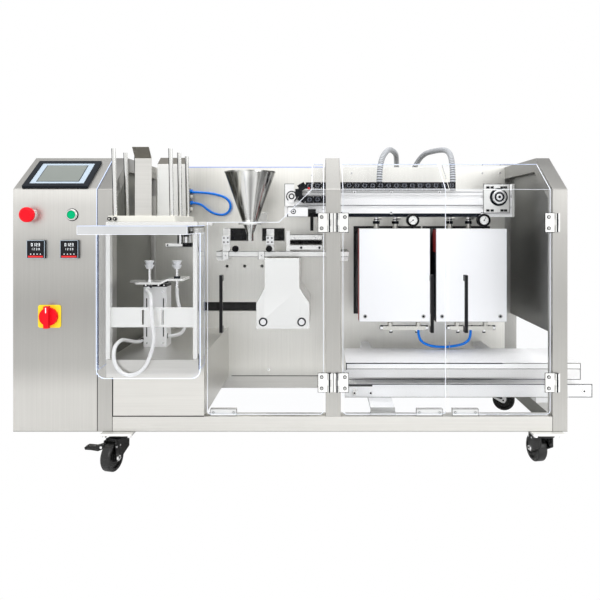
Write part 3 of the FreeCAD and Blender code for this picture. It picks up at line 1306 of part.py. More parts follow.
def make_chamber(index):
    word = ("Left", "Right")[index]
    left = f"chamber_left + {index} * chamber_pitch"
    body = fused(word + "ChamberWhole", [
        chamber_sheet(word + "ChamberBody", index, "body_inset", "wall_face - body_front", "body_front",
                      corner="body_corner"),
        chamber_sheet(word + "ChamberFlange", index, "body_inset - flange_rim", "flange_depth",
                      "wall_face - flange_depth"),
    ])
    seal = chamber_sheet(word + "Seal", index, "body_inset", "gasket_depth", "seal_front",
                         corner="seal_corner", window="gasket_width")
    cover = block(word + "ChamberCover", left, "cover_front", "chamber_bottom",
                  "chamber_width", "cover_depth", "chamber_height")
    gauge_x = f"chamber_left + gauge_inset + {index} * gauge_pitch"
    stem = rod(word + "GaugeStem", "z", "port_radius / 2", "gauge_height - chamber_bottom - chamber_height",
               gauge_x, "gauge_y + gauge_depth / 2", "chamber_bottom + chamber_height")
    face = rod(word + "GaugeCase", "y", "gauge_radius", "gauge_depth", gauge_x, "gauge_y", "gauge_height")
    node(fused(word + "GaugedCover", [cover, stem, face]), word.lower() + "_chamber_cover")
    ports = [
        rod(f"{word}Port{place}", "z", "port_radius", "port_height", f"{left} + port_inset + {place} * port_inset",
            "body_front + port_setback", "body_top")
        for place in range(2)
    ]
    return body, seal, [*ports, make_manifold(index)]


def make_manifold(index):
    """A bar under a chamber with its two ports up to the body."""
    x = f"chamber_left + manifold_inset + {index} * manifold_pitch"
    bar = block(f"Manifold{index}", x, "front_face + manifold_setback", "manifold_bottom", "manifold_length",
                "manifold_depth", "manifold_height")
    ports = [
        rod(f"ManifoldPort{index}{place}", "z", "port_radius", "manifold_drop",
            f"{x} + manifold_port + {place} * (manifold_length - 2 * manifold_port)",
            "front_face + manifold_setback + manifold_depth / 2", "manifold_bottom + manifold_height")
        for place in range(2)
    ]
    return fused(f"ManifoldWhole{index}", [bar, *ports])


def make_chambers():
    bodies = []
    seals = []
    fittings = []
    for index in range(2):
        body, seal, ports = make_chamber(index)
        bodies.append(body)
        seals.append(seal)
        fittings += ports
    fittings.append(block("ValveBlock", "frame_left + valve_inset", "wall_face - valve_depth",
                          "top_height - valve_drop - valve_height", "valve_width", "valve_depth",
                          "valve_height"))
    node(together("ChamberBodies", bodies), "chamber_bodies")
    node(together("ChamberSeals", seals), "chamber_seals")
    node(together("VacuumFittings", fittings), "vacuum_fittings")


# Pouch tray under the chambers and the outfeed conveyor
def make_outfeed():
    return_edge = "tray_height - tray_lip - tray_return_drop"
    corners = [
        ("0", "tray_height - tray_lip"),
        ("0", "tray_height"),
        ("tray_depth", "tray_height"),
        ("tray_depth", "tray_height - tray_sheet"),
        ("tray_sheet", "tray_height - tray_sheet"),
        ("tray_sheet", "tray_height - tray_lip"),
        ("tray_return_run + tray_sheet", return_edge),
        ("tray_return_run", return_edge),
    ]
    tray = extruded("PouchTray", "YZ_Plane", corners, "tray_length", "frame_left + tray_offset",
                    "front_face + tray_front")
    arm_z = "tray_height - tray_sheet - tray_lip"
    arms = [
        block(f"TrayArm{index}", f"frame_left + tray_offset + tray_arm_first + {index} * tray_arm_pitch",
              "front_face + tray_front + tray_depth / 2", arm_z, "tray_arm_width",
              "wall_setback - tray_front - tray_depth / 2", "tray_lip")
        for index in range(2)
    ]
    node(fused("PouchTrayWhole", [tray, *arms]), "pouch_tray")
    side_plates = [
        extruded(f"ConveyorSide{index}", "XZ_Plane",
                 [("0", "0"), ("conveyor_length", "0"), ("conveyor_length", "conveyor_height"),
                  ("0", "conveyor_height")],
                 "conveyor_plate", "conveyor_left",
                 f"conveyor_y + {index} * (conveyor_width - conveyor_plate)", "conveyor_bottom",
                 circles=[("roller_inset", "roller_height - conveyor_bottom", "roller_pin"),
                          ("conveyor_length - roller_inset", "roller_height - conveyor_bottom", "roller_pin")],
                 back=True)
        for index in range(2)
    ]
    stays = [
        block(f"ConveyorStay{index}", f"conveyor_left + stay_first + {index} * stay_pitch",
              "conveyor_y + conveyor_plate", "roller_height - stay_size / 2", "stay_size",
              "conveyor_width - 2 * conveyor_plate", "stay_size")
        for index in range(3)
    ]
    for plate in side_plates:
        round_edges(plate, "conveyor_corner",
                    lambda edge: runs_along(edge, ALONG_Y) and edge.BoundBox.ZMin > size("conveyor_height") / 2
                    and edge.BoundBox.XMin > size("conveyor_length") / 2)
    node(fused("ConveyorFrame", [*side_plates, *stays, *make_conveyor_feet()]), "conveyor_frame")
    rollers = []
    for index in range(2):
        x = f"conveyor_left + roller_inset + {index} * (conveyor_length - 2 * roller_inset)"
        drum = rod(f"RollerDrum{index}", "y", "roller_radius - belt_thickness",
                   "conveyor_width - 2 * conveyor_plate - 2 * belt_inset", x,
                   "conveyor_y + conveyor_plate + belt_inset", "roller_height")
        pin = rod(f"RollerPin{index}", "y", "roller_pin", "conveyor_width", x, "conveyor_y", "roller_height")
        rollers.append(fused(f"Roller{index}", [drum, pin]))
    node(together("ConveyorRollers", rollers), "conveyor_rollers")


def make_conveyor_feet():
    """A bent plate on the front rail and a rest on the right rail."""
    x = "conveyor_left + foot_first"
    return [
        block("FootBase", x, "front_face + foot_setback", "rail_top", "foot_width", "tube_size - foot_setback",
              "foot_thickness"),
        block("FootArm", x, "front_face + tube_size - foot_thickness", "rail_top + foot_thickness", "foot_width",
              "foot_thickness", "conveyor_bottom - rail_top - foot_thickness"),
        block("FootTop", x, "front_face + tube_size", "conveyor_bottom - foot_thickness", "foot_width",
              "conveyor_front - tube_size + conveyor_plate + belt_inset", "foot_thickness"),
        block("ConveyorRest", "right_inner", "conveyor_y", "rail_top", "tube_size", "conveyor_width",
              "conveyor_bottom - rail_top"),
    ]


def belt_loop(name, radius):
    """A stadium round both rollers, as wide as the belt."""
    span = "conveyor_length - 2 * roller_inset"
    width = "conveyor_width - 2 * conveyor_plate - 2 * belt_inset"
    y = "conveyor_y + conveyor_plate + belt_inset"
    return fused(name, [
        block(name + "Middle", "conveyor_left + roller_inset", y, f"roller_height - ({radius})", span, width,
              f"2 * ({radius})"),
        rod(name + "In", "y", radius, width, "conveyor_left + roller_inset", y, "roller_height"),
        rod(name + "Out", "y", radius, width, "conveyor_left + conveyor_length - roller_inset", y,
            "roller_height"),
    ])


def make_belt():
    belt = without("ConveyorBelt", belt_loop("BeltOutside", "roller_radius"),
                   belt_loop("BeltInside", "roller_radius - belt_thickness"))
    node(belt, "conveyor_belt")


# Clear doors: bent sheet, bar handle and the door's half of both hinges
def make_pane(name, left, width):
    top = "kink_height + door_top_run * tan(slant_angle)"
    corners = [
        ("0", "pane_bottom"),
        ("0", "kink_height"),
        ("door_top_run", top),
        ("door_top_run + door_sheet * sin(slant_angle)", f"{top} - door_sheet * cos(slant_angle)"),
        ("door_sheet", "kink_height - door_sheet * tan(45 deg - slant_angle / 2)"),
        ("door_sheet", "pane_bottom"),
    ]
    pane = extruded(name, "YZ_Plane", corners, width, left, "front_face")
    return round_edges(pane, "door_corner",
                       lambda edge: runs_along(edge, ALONG_Y) and edge.BoundBox.ZMax < size("rail_top") * 2)


def make_handle(name, x, y="front_face"):
    """A bar handle standing on the door at its two ends."""
    bar = block(name + "Bar", f"{x} - handle_bar / 2", f"{y} - handle_reach", "handle_bottom",
                "handle_bar", "handle_bar", "handle_length")
    feet = [
        block(f"{name}Foot{index}", f"{x} - handle_bar / 2", f"{y} - handle_reach + handle_bar",
              f"handle_bottom + {index} * (handle_length - 2 * handle_bar)", "handle_bar",
              "handle_reach - handle_bar", "2 * handle_bar")
        for index in range(2)
    ]
    return fused(name, [bar, *feet])


def hinge_part(name, axis, side, low, moving):
    """One half of a hinge; side is -1 where the door lies to the left of its axis."""
    third = "hinge_height / 3"
    pieces = []
    if moving:
        spans = [(f"{low} + {third} + slide_clearance", f"{third} - 2 * slide_clearance")]
        plate_from = "knuckle_radius + leaf_gap"
        plate_to = "leaf_width"
    else:
        spans = [(low, third), (f"{low} + 2 * {third}", third)]
        plate_from = "0 - hinge_inset + leaf_gap"
        plate_to = "0 - knuckle_radius - leaf_gap / 2"
    start = plate_from if side > 0 else plate_to
    width = f"({plate_to}) - ({plate_from})"
    plate_x = f"{axis} + ({start})" if side > 0 else f"{axis} - ({start})"
    leaf_y = "front_face - leaf_thickness"
    pieces.append(block(name + "Leaf", plate_x, leaf_y, low, width, "leaf_thickness", "hinge_height"))
    for index, (bottom, height) in enumerate(spans):
        pieces.append(rod(f"{name}Knuckle{index}", "z", "knuckle_radius", height, axis, "hinge_y", bottom))
        reach = "knuckle_radius + leaf_gap" if moving else "knuckle_radius + leaf_gap / 2"
        towards = side if moving else -side
        neck_x = axis if towards > 0 else f"{axis} - ({reach})"
        pieces.append(block(f"{name}Neck{index}", neck_x, leaf_y, bottom, reach, "leaf_thickness", height))
    if moving:
        bore = rod(name + "Bore", "z", "hinge_pin_radius + slide_clearance", "hinge_height", axis, "hinge_y", low)
        return without(name, fused(name + "Whole", pieces), bore)
    pieces.append(rod(name + "Pin", "z", "hinge_pin_radius", "hinge_height", axis, "hinge_y", low))
    return fused(name, pieces)


def make_doors():
    left = make_pane("LeftPane", "left_door_left", "left_door_width")
    rise = "left_door_rise"
    trim = extruded("LeftDoorTrim", "XZ_Plane",
                    [("0 - door_gap", "left_door_top"), ("left_door_level", "left_door_top"),
                     (rise, "kink_height"), (rise, "top_height"), ("0 - door_gap", "top_height")],
                    "slant_run + 2 * door_gap", "left_door_left", "front_face - door_gap", back=True)
    node(without("LeftDoorPanel", left, trim), "left_door_panel")
    node(make_pane("MiddleDoorPanel", "middle_door_left", "middle_door_width"), "middle_door_panel")
    node(make_pane("RightDoorPanel", "right_door_left", "right_door_width"), "right_door_panel")
    handles = {
        "left": "left_door_left + handle_inset",
        "middle": "middle_door_left + middle_door_width - handle_inset",
        "right": "right_door_left + handle_inset",
    }
    fixed_halves = []
    for name, axis, side in (("left", "left_axis", -1), ("middle", "middle_axis", 1),
                             ("right", "right_axis", -1)):
        fittings = [make_handle(name.title() + "Handle", handles[name])]
        for level, low in enumerate(("hinge_low", "hinge_high")):
            fittings.append(hinge_part(f"{name.title()}DoorHinge{level}", axis, side, low, True))
            fixed_halves.append(hinge_part(f"{name.title()}PostHinge{level}", axis, side, low, False))
        node(together(name.title() + "DoorFittings", fittings), name + "_door_fittings")
    catches = [
        block(f"Catch{index}", x, "front_face + door_sheet + catch_gap", "rail_top", "catch_width",
              "catch_depth", "catch_height")
        for index, x in enumerate((
            "left_door_left + catch_inset",
            "middle_door_left + middle_door_width - catch_inset - catch_width",
            "right_door_left + catch_inset"))
    ]
    node(together("PostFittings", [*fixed_halves, *catches]), "post_fittings")


# Hoses: each route as points from the frame's left side, the posts' front and the floor
CORDS = {
    "left_conduit": ("conduit_diameter", [
        (775, 257, 778), (775, 257, 840), (806, 310, 888), (838, 420, 890), (856, 505, 880), (860, 560, 836)]),
    "right_conduit": ("conduit_diameter", [
        (999, 257, 778), (999, 257, 838), (996, 310, 884), (972, 400, 892), (934, 506, 886), (918, 559, 835)]),
    "suction_hose": ("hose_diameter", [
        (111, 96, 470), (111, 62, 470), (136, 20, 466), (156, -50, 452), (160.5, -60, 395), (167, -60, 360),
        (160, -60, 318), (138, -60, 272), (96, -60, 258), (64, -61, 286), (60, -55, 332), (66, -10, 346),
        (66, 45, 334), (84, 100, 318), (84, 131, 318)]),
    "cup_hose": ("hose_diameter", [
        (189, 110, 470), (189, 110, 430), (207, 118, 388), (209, 130, 353), (188, 136, 331), (158, 136, 331)]),
    "wall_tube": ("air_tube_diameter", [
        (160, 452, 757), (205, 452, 757), (258, 455, 748), (286, 456, 734), (296, 456, 711), (287, 456, 688),
        (263, 456, 679.5), (226, 455, 690), (192, 452, 722), (160, 452, 722)]),
    "chamber_tube": ("air_tube_diameter", [
        (900, 300, 322), (900, 300, 294), (926, 303, 273), (975, 306, 266), (1020, 305, 271), (1046, 302, 279),
        (1063, 300, 296), (1063, 300, 322)]),
}
ARC_SHARE = 0.45


def cord_wire(points):
    """Straight runs joined by arcs that touch both, and the tightest arc's radius."""
    edges = []
    radii = []
    start = points[0]
    for before, corner, after in zip(points, points[1:], points[2:]):
        back = before - corner
        ahead = after - corner
        half_turn = (math.pi - back.getAngle(ahead)) / 2
        reach = ARC_SHARE * min(back.Length, ahead.Length)
        radius = reach / math.tan(half_turn)
        back.normalize()
        ahead.normalize()
        inwards = (back + ahead).normalize()
        enter = corner + back * reach
        leave = corner + ahead * reach
        middle = corner + inwards * (radius / math.cos(half_turn) - radius)
        edges.append(Part.LineSegment(start, enter).toShape())
        edges.append(Part.Arc(enter, middle, leave).toShape())
        radii.append(radius)
        start = leave
    edges.append(Part.LineSegment(start, points[-1]).toShape())
    return Part.Wire(edges), min(radii)


def make_cords():
    """Sweep every hose along its route and print its tightest bend."""
    origin = FreeCAD.Vector(size("frame_left"), size("front_face"), 0)
    for name, (diameter, route) in CORDS.items():
        points = [origin + FreeCAD.Vector(*point) for point in route]
        wire, tightest = cord_wire(points)
        ring = Part.Wire([Part.Circle(points[0], points[1] - points[0], size(diameter) / 2).toShape()])
        hose = doc.addObject("Part::Feature", name.title().replace("_", ""))
        hose.Shape = wire.makePipeShell([ring], True, False)
        node(hose, name)
        print(f"{name}: tightest bend {tightest:.0f} mm, {tightest / size(diameter):.1f} diameters")


# Casters: plate under the frame, swivelling fork and wheel
CASTERS = {
    "front_left": ("frame_left + caster_inset", "front_face + tube_size / 2"),
    "front_right": ("frame_right - caster_inset", "front_face + tube_size / 2"),
    "rear_left": ("frame_left + caster_inset", "front_face + rear_caster_setback"),
    "rear_right": ("frame_right - caster_inset", "front_face + rear_caster_setback"),
}


def make_caster_plates():
    plates = []
    for name, (x, y) in CASTERS.items():
        word = name.title().replace("_", "")
        plates.append(fused(word + "Mount", [
            block(word + "Plate", f"{x} - caster_plate_length / 2", f"{y} - caster_plate_length / 2",
                  "caster_height - caster_plate_thickness", "caster_plate_length", "caster_plate_length",
                  "caster_plate_thickness"),
            rod(word + "King", "z", "king_radius", "race_height + fork_plate", x, y,
                "caster_height - caster_plate_thickness - race_height - fork_plate"),
        ]))
    node(together("CasterPlates", plates), "caster_plates")


def make_fork(name, x, y):
    """Fork in its own frame: swivel axis at the origin, wheel towards +Y."""
    word = name.title().replace("_", "")
    crown_top = "caster_height - caster_plate_thickness - slide_clearance"
    crown_bottom = "caster_height - caster_plate_thickness - race_height - fork_plate"
    half = "wheel_width / 2 + fork_gap"
    crown = rod(word + "Crown", "z", "race_radius", "race_height + fork_plate - slide_clearance", "0", "0",
                crown_bottom)
    roof = block(word + "Roof", f"0 - ({half}) - fork_plate", "0", crown_bottom,
                 f"2 * ({half} + fork_plate)", "wheel_trail", "fork_plate")
    legs = []
    for index in range(2):
        leg = extruded(f"{word}Leg{index}", "YZ_Plane",
                       [("0 - race_radius / 2", crown_bottom), ("wheel_trail + axle_radius * 2", crown_bottom),
                        ("wheel_trail + axle_radius * 2", "wheel_radius"),
                        ("wheel_trail + axle_radius", "wheel_radius - axle_radius * 2"),
                        ("wheel_trail - axle_radius", "wheel_radius - axle_radius * 2"),
                        ("0 - race_radius / 2", "wheel_radius + axle_radius * 3")],
                       "fork_plate",
                       f"{2 * index - 1} * ({half}) + {index - 1} * fork_plate")
        legs.append(leg)
    axle = rod(word + "Axle", "x", "axle_radius", f"2 * ({half}) + 4 * fork_plate",
               f"0 - ({half}) - 2 * fork_plate", "wheel_trail", "wheel_radius")
    bore = rod(word + "KingBore", "z", "king_radius + slide_clearance", "2 * race_height", "0", "0",
               crown_bottom)
    fork = without(word + "Fork", fused(word + "ForkWhole", [crown, roof, *legs, axle]), bore)
    put(fork, x, y, "0", name + "_turn * 1 deg", ALONG_Z)
    node(fork, name + "_fork")
    tread = "wheel_width / 2"
    half_outline = [("hub_radius", "web_half"), ("web_radius", "web_half"), ("tyre_radius", tread),
                    ("wheel_radius - tyre_bevel", tread), ("wheel_radius", tread + " - tyre_bevel")]
    near = [(across, f"0 - ({up})") for across, up in half_outline]
    hub = [("axle_radius + slide_clearance", f"{side} * ({tread} + hub_reach)") for side in (1, -1)]
    rim = [("hub_radius", f"{side} * ({tread} + hub_reach)") for side in (-1, 1)]
    wheel = turned(word + "Wheel", "XZ_Plane", [hub[1], rim[0], *near, *reversed(half_outline), rim[1], hub[0]])
    wheel.Placement = FreeCAD.Placement(FreeCAD.Vector(), MAIN_AXES["x"])
    put(wheel, "0", "wheel_trail", "wheel_radius")
    placed = together(word + "WheelPlaced", [wheel])
    put(placed, x, y, "0", name + "_turn * 1 deg", ALONG_Z)
    node(placed, name + "_wheel")


def main():
    make_base_rails()
    make_end_arches()
    make_middle_arch()
    make_side_panels()
    make_rear_wall()
    make_rear_covers()
    make_cabinet()
    make_screen()
    make_controls()
    make_infeed_deck()
    make_infeed_guard()
    make_magazine()
    make_lift()
    make_funnel()
    make_grippers()
    make_support()
    make_beam()
    make_chain()
    make_chambers()
    make_outfeed()
    make_belt()
    make_doors()
    make_cords()
    make_caster_plates()
    for name, (x, y) in CASTERS.items():
        make_fork(name, x, y)
    doc.recompute()
    check_and_export()


def check_and_export():
    """Stop on any failed object, then write one STEP file for each sub-part."""
    for item in doc.Objects:
        if "Invalid" in item.State or "Error" in item.State:
            raise RuntimeError(f"{item.Label} failed: {item.State}")
    for item in NODES:
        if item.Shape.isNull() or not item.Shape.isValid() or not item.Shape.Solids:
            raise RuntimeError(f"{item.Label} has no valid solid")
    os.makedirs("parts", exist_ok=True)
    for item in NODES:
        item.Shape.exportStep(f"parts/{item.Label}.step")
    print(f"{len(NODES)} sub-parts in parts")


main()
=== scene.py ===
"""Dressed view of the pouch vacuum packing machine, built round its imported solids.

Lengths are millimetres from the datum: the frame's left side, the front of the posts and the floor.
"""
from __future__ import annotations

import json
import logging
import math
from dataclasses import dataclass, field
from enum import Enum
from typing import Callable, Iterable, Sequence

import bmesh
import bpy
from mathutils import Matrix, Vector

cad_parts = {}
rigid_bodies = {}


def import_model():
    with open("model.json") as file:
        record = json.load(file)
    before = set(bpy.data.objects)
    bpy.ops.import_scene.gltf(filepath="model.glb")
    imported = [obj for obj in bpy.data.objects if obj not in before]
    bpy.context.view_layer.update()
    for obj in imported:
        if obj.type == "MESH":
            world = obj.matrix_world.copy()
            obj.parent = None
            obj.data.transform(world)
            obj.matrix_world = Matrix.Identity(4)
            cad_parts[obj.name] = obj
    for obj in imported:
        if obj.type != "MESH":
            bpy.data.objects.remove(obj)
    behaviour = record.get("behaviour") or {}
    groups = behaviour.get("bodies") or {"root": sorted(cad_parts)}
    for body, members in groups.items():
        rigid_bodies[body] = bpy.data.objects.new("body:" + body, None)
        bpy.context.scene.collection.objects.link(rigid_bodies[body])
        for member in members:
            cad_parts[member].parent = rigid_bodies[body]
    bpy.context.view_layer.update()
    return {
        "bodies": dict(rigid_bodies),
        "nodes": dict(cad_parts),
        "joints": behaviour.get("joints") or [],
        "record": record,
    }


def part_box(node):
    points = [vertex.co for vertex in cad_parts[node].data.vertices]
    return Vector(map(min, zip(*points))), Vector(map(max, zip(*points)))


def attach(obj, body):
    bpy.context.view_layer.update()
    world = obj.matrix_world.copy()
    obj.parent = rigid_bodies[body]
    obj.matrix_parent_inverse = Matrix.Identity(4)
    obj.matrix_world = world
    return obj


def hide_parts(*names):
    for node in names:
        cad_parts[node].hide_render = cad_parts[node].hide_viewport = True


LOG = logging.getLogger("dressing")
MM = 0.001
WAVE_UNIT = 20.0
WELD_DISTANCE = 1e-5
FLAT_ANGLE = math.radians(1.0)
RECAST_SHARP_ANGLE = math.radians(32.0)
FORM_SHARP_ANGLE = math.radians(35.0)
BEVEL_ANGLE = math.radians(38.0)
BUMP_METAL, BUMP_PLASTIC, BUMP_FUNNEL, BUMP_RIBS = 0.0004, 0.0002, 0.0003, 0.0012
Point = Sequence[float]
Colour = tuple[float, float, float]
Test = Callable[[Vector], bool]


class Grain(Enum):
    """Direction of a brushed finish, as how fine its streaks are along each axis, per metre."""

    ALONG_X = (3.0, 260.0, 260.0)
    ALONG_Z = (260.0, 260.0, 3.0)
    EVEN = (90.0, 90.0, 90.0)


class Facing(Enum):
    """Directions that heads, rings and plates can look."""

    FRONT = (0.0, -1.0, 0.0)
    BACK = (0.0, 1.0, 0.0)
    UP = (0.0, 0.0, 1.0)
    DOWN = (0.0, 0.0, -1.0)
    LEFT = (-1.0, 0.0, 0.0)
    RIGHT = (1.0, 0.0, 0.0)

    @property
    def vector(self) -> Vector:
        """The direction as a vector."""
        return Vector(self.value)


class Datum:
    """Turns datum millimetres into the row frame's metres and back."""

    def __init__(self) -> None:
        """Find the datum from the end arches and the middle arch."""
        self.origin = Vector((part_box("end_arches")[0].x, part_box("middle_arch")[0].y, 0.0))

    def at(self, x: float, y: float, z: float) -> Vector:
        """A datum place in metres."""
        return self.origin + Vector((x, y, z)) * MM

    def read(self, place: Vector) -> Vector:
        """A place in metres as datum millimetres."""
        return (place - self.origin) / MM


def math_node(tree: bpy.types.NodeTree, operation: str, *values: float | None) -> bpy.types.Node:
    """A Math node, with plain values on its first inputs.

    Args:
        tree: The tree that gets it.
        operation: What it does.
        values: One for each input in turn; None leaves the input alone.

    Returns:
        The node.
    """
    node = tree.nodes.new("ShaderNodeMath")
    node.operation = operation
    for socket, value in zip(node.inputs, values):
        if value is not None:
            socket.default_value = value
    return node


class NodeGroups:
    """Shader groups that more than one finish uses, each built once."""

    def __init__(self) -> None:
        """Build every group."""
        self.brushing = self._brushing()
        self.clouding = self._clouding()

    @staticmethod
    def _start(name: str, outputs: Iterable[str]) -> tuple[bpy.types.NodeTree, bpy.types.Node, bpy.types.Node]:
        """A group with Vector, Stretch and Amount inputs.

        Args:
            name: The group's name.
            outputs: Names of its float outputs.

        Returns:
            The tree with its input and output nodes.
        """
        tree = bpy.data.node_groups.new(name, "ShaderNodeTree")
        tree.interface.new_socket("Vector", in_out="INPUT", socket_type="NodeSocketVector")
        tree.interface.new_socket("Stretch", in_out="INPUT", socket_type="NodeSocketVector")
        tree.interface.new_socket("Amount", in_out="INPUT", socket_type="NodeSocketFloat")
        for output in outputs:
            tree.interface.new_socket(output, in_out="OUTPUT", socket_type="NodeSocketFloat")
        return tree, tree.nodes.new("NodeGroupInput"), tree.nodes.new("NodeGroupOutput")

    @staticmethod
    def _noise(tree: bpy.types.NodeTree, entry: bpy.types.Node, detail: float) -> bpy.types.Node:
        """Noise on the stretched place.

        Args:
            tree: The group's tree.
            entry: Its input node.
            detail: The noise's detail.

        Returns:
            The noise node.
        """
        stretch = tree.nodes.new("ShaderNodeVectorMath")
        stretch.operation = "MULTIPLY"
        noise = tree.nodes.new("ShaderNodeTexNoise")
        noise.inputs["Scale"].default_value = 1.0
        noise.inputs["Detail"].default_value = detail
        tree.links.new(entry.outputs["Vector"], stretch.inputs[0])
        tree.links.new(entry.outputs["Stretch"], stretch.inputs[1])
        tree.links.new(stretch.outputs[0], noise.inputs["Vector"])
        return noise

    @staticmethod
    def _swing(tree: bpy.types.NodeTree, entry: bpy.types.Node, level: bpy.types.NodeSocket,
               tone: bpy.types.NodeSocket) -> None:
        """Swing a level round 0.5 by the group's Amount and put it out as the tone."""
        centre = math_node(tree, "SUBTRACT", None, 0.5)
        gain = math_node(tree, "MULTIPLY_ADD", None, None, 0.5)
        tree.links.new(level, centre.inputs[0])
        tree.links.new(centre.outputs[0], gain.inputs[0])
        tree.links.new(entry.outputs["Amount"], gain.inputs[1])
        tree.links.new(gain.outputs[0], tone)

    def _brushing(self) -> bpy.types.NodeTree:
        """Streaks along the grain, as a tone round 0.5 and a height."""
        tree, entry, exit_node = self._start("brushing", ("Tone", "Height"))
        noise = self._noise(tree, entry, 3.0)
        noise.inputs["Roughness"].default_value = 0.7
        spread = tree.nodes.new("ShaderNodeMapRange")
        spread.inputs["From Min"].default_value = 0.3
        spread.inputs["From Max"].default_value = 0.7
        tree.links.new(noise.outputs["Fac"], spread.inputs["Value"])
        tree.links.new(spread.outputs[0], exit_node.inputs["Height"])
        self._swing(tree, entry, spread.outputs[0], exit_node.inputs["Tone"])
        return tree

    def _clouding(self) -> bpy.types.NodeTree:
        """Slow cloudiness from handling and uneven finish, as a tone round 0.5."""
        tree, entry, exit_node = self._start("clouding", ("Tone",))
        noise = self._noise(tree, entry, 2.0)
        self._swing(tree, entry, noise.outputs["Fac"], exit_node.inputs["Tone"])
        return tree


class Shader:
    """One material's node tree while it is built."""

    def __init__(self, name: str, groups: NodeGroups) -> None:
        """Start a material with its Principled shader and object coordinates."""
        self.material = bpy.data.materials.new(name)
        self.material.use_nodes = True
        self.tree = self.material.node_tree
        self.groups = groups
        self.principled = self.tree.nodes["Principled BSDF"]
        self.place = self.tree.nodes.new("ShaderNodeTexCoord")

    def set(self, **values: float | Sequence[float]) -> None:
        """Set plain values on the Principled sockets; underscores stand for spaces."""
        for name, value in values.items():
            self.principled.inputs[name.replace("_", " ")].default_value = value

    def link(self, start: bpy.types.NodeSocket, end: bpy.types.NodeSocket) -> None:
        """Join two sockets."""
        self.tree.links.new(start, end)

    def group(self, tree: bpy.types.NodeTree, stretch: Sequence[float], amount: float) -> bpy.types.Node:
        """Place a shared group on the object coordinates.

        Args:
            tree: The shared group.
            stretch: Streaks or clouds per metre along each axis.
            amount: How far the tone swings.

        Returns:
            The group's node.
        """
        node = self.tree.nodes.new("ShaderNodeGroup")
        node.node_tree = tree
        node.inputs["Stretch"].default_value = stretch
        node.inputs["Amount"].default_value = amount
        self.link(self.place.outputs["Object"], node.inputs["Vector"])
        return node

    def tint(self, tone: bpy.types.NodeSocket, dark: Colour, light: Colour,
             target: str = "Base Color") -> None:
        """Mix two colours by a tone into a colour socket.

        Args:
            tone: A value from 0 to 1.
            dark: Colour at 0.
            light: Colour at 1.
            target: The Principled socket.
        """
        ramp = self.tree.nodes.new("ShaderNodeValToRGB")
        ramp.color_ramp.elements[0].color = (*dark, 1.0)
        ramp.color_ramp.elements[1].color = (*light, 1.0)
        self.link(tone, ramp.inputs["Fac"])
        self.link(ramp.outputs["Color"], self.principled.inputs[target])

    def paint_sheen(self, painted_sheen: Sequence[tuple[float, float]]) -> None:
        """Paint sheen and shade into the base colour: lighter and darker up the sheet, where long soft reflections and
        shade fall.

        Args:
            painted_sheen: Pairs of height in millimetres and factor, lowest first.
        """
        low, high = painted_sheen[0][0], painted_sheen[-1][0]
        split = self.tree.nodes.new("ShaderNodeSeparateXYZ")
        spread = self.tree.nodes.new("ShaderNodeMapRange")
        spread.inputs["From Min"].default_value = low * MM
        spread.inputs["From Max"].default_value = high * MM
        ramp = self.tree.nodes.new("ShaderNodeValToRGB")
        ramp.color_ramp.interpolation = "EASE"
        stops = ramp.color_ramp.elements
        while len(stops) < len(painted_sheen):
            stops.new(0.5)
        for stop, (height, factor) in zip(stops, painted_sheen):
            stop.position = (height - low) / (high - low)
            stop.color = (factor, factor, factor, 1.0)
        mix = self.tree.nodes.new("ShaderNodeVectorMath")
        mix.operation = "MULTIPLY"
        base = self.principled.inputs["Base Color"]
        self.link(self.place.outputs["Object"], split.inputs[0])
        self.link(split.outputs["Z"], spread.inputs["Value"])
        self.link(spread.outputs[0], ramp.inputs["Fac"])
        self.link(base.links[0].from_socket, mix.inputs[0])
        self.link(ramp.outputs["Color"], mix.inputs[1])
        self.link(mix.outputs[0], base)

    def vary(self, tone: bpy.types.NodeSocket, low: float, high: float, target: str = "Roughness") -> None:
        """Spread a tone over a range and feed it to a value socket."""
        spread = self.tree.nodes.new("ShaderNodeMapRange")
        spread.inputs["To Min"].default_value = low
        spread.inputs["To Max"].default_value = high
        self.link(tone, spread.inputs["Value"])
        self.link(spread.outputs[0], self.principled.inputs[target])

    def bump(self, height: bpy.types.NodeSocket, strength: float, distance: float) -> None:
        """Turn a height into the shader's normal; the distance is in metres."""
        node = self.tree.nodes.new("ShaderNodeBump")
        node.inputs["Strength"].default_value = strength
        node.inputs["Distance"].default_value = distance
        self.link(height, node.inputs["Height"])
        self.link(node.outputs["Normal"], self.principled.inputs["Normal"])


def shaded(colour: Colour, factor: float) -> Colour:
    """A colour made lighter or darker by a factor."""
    return tuple(min(1.0, part * factor) for part in colour)


@dataclass(frozen=True)
class Metal:
    """Brushed, polished or cast metal."""

    name: str
    colour: Colour
    roughness: float
    grain: Grain = Grain.ALONG_Z
    streak: float = 0.5
    swing: float = 0.1
    relief: float = 0.08
    metallic: float = 1.0
    # Painted sheen and shade: height and factor stops that lighten and darken the base colour.
    painted_sheen: tuple[tuple[float, float], ...] = ()

    def build(self, groups: NodeGroups) -> bpy.types.Material:
        """Make the material."""
        shader = Shader(self.name, groups)
        shader.set(Metallic=self.metallic)
        brushing = shader.group(groups.brushing, self.grain.value, self.streak)
        clouding = shader.group(groups.clouding, (4.0, 4.0, 4.0), 0.8)
        blend = math_node(shader.tree, "MULTIPLY_ADD", None, 0.5)
        half = math_node(shader.tree, "MULTIPLY", None, 0.5)
        shader.link(clouding.outputs["Tone"], half.inputs[0])
        shader.link(brushing.outputs["Tone"], blend.inputs[0])
        shader.link(half.outputs[0], blend.inputs[2])
        shader.tint(blend.outputs[0], shaded(self.colour, 1 - self.swing), shaded(self.colour, 1 + self.swing))
        # Painted sheen and shade, multiplied into the base colour by height.
        if self.painted_sheen:
            shader.paint_sheen(self.painted_sheen)
        shader.vary(clouding.outputs["Tone"], self.roughness * 0.85, self.roughness * 1.15)
        shader.bump(brushing.outputs["Height"], self.relief, BUMP_METAL)
        return shader.material


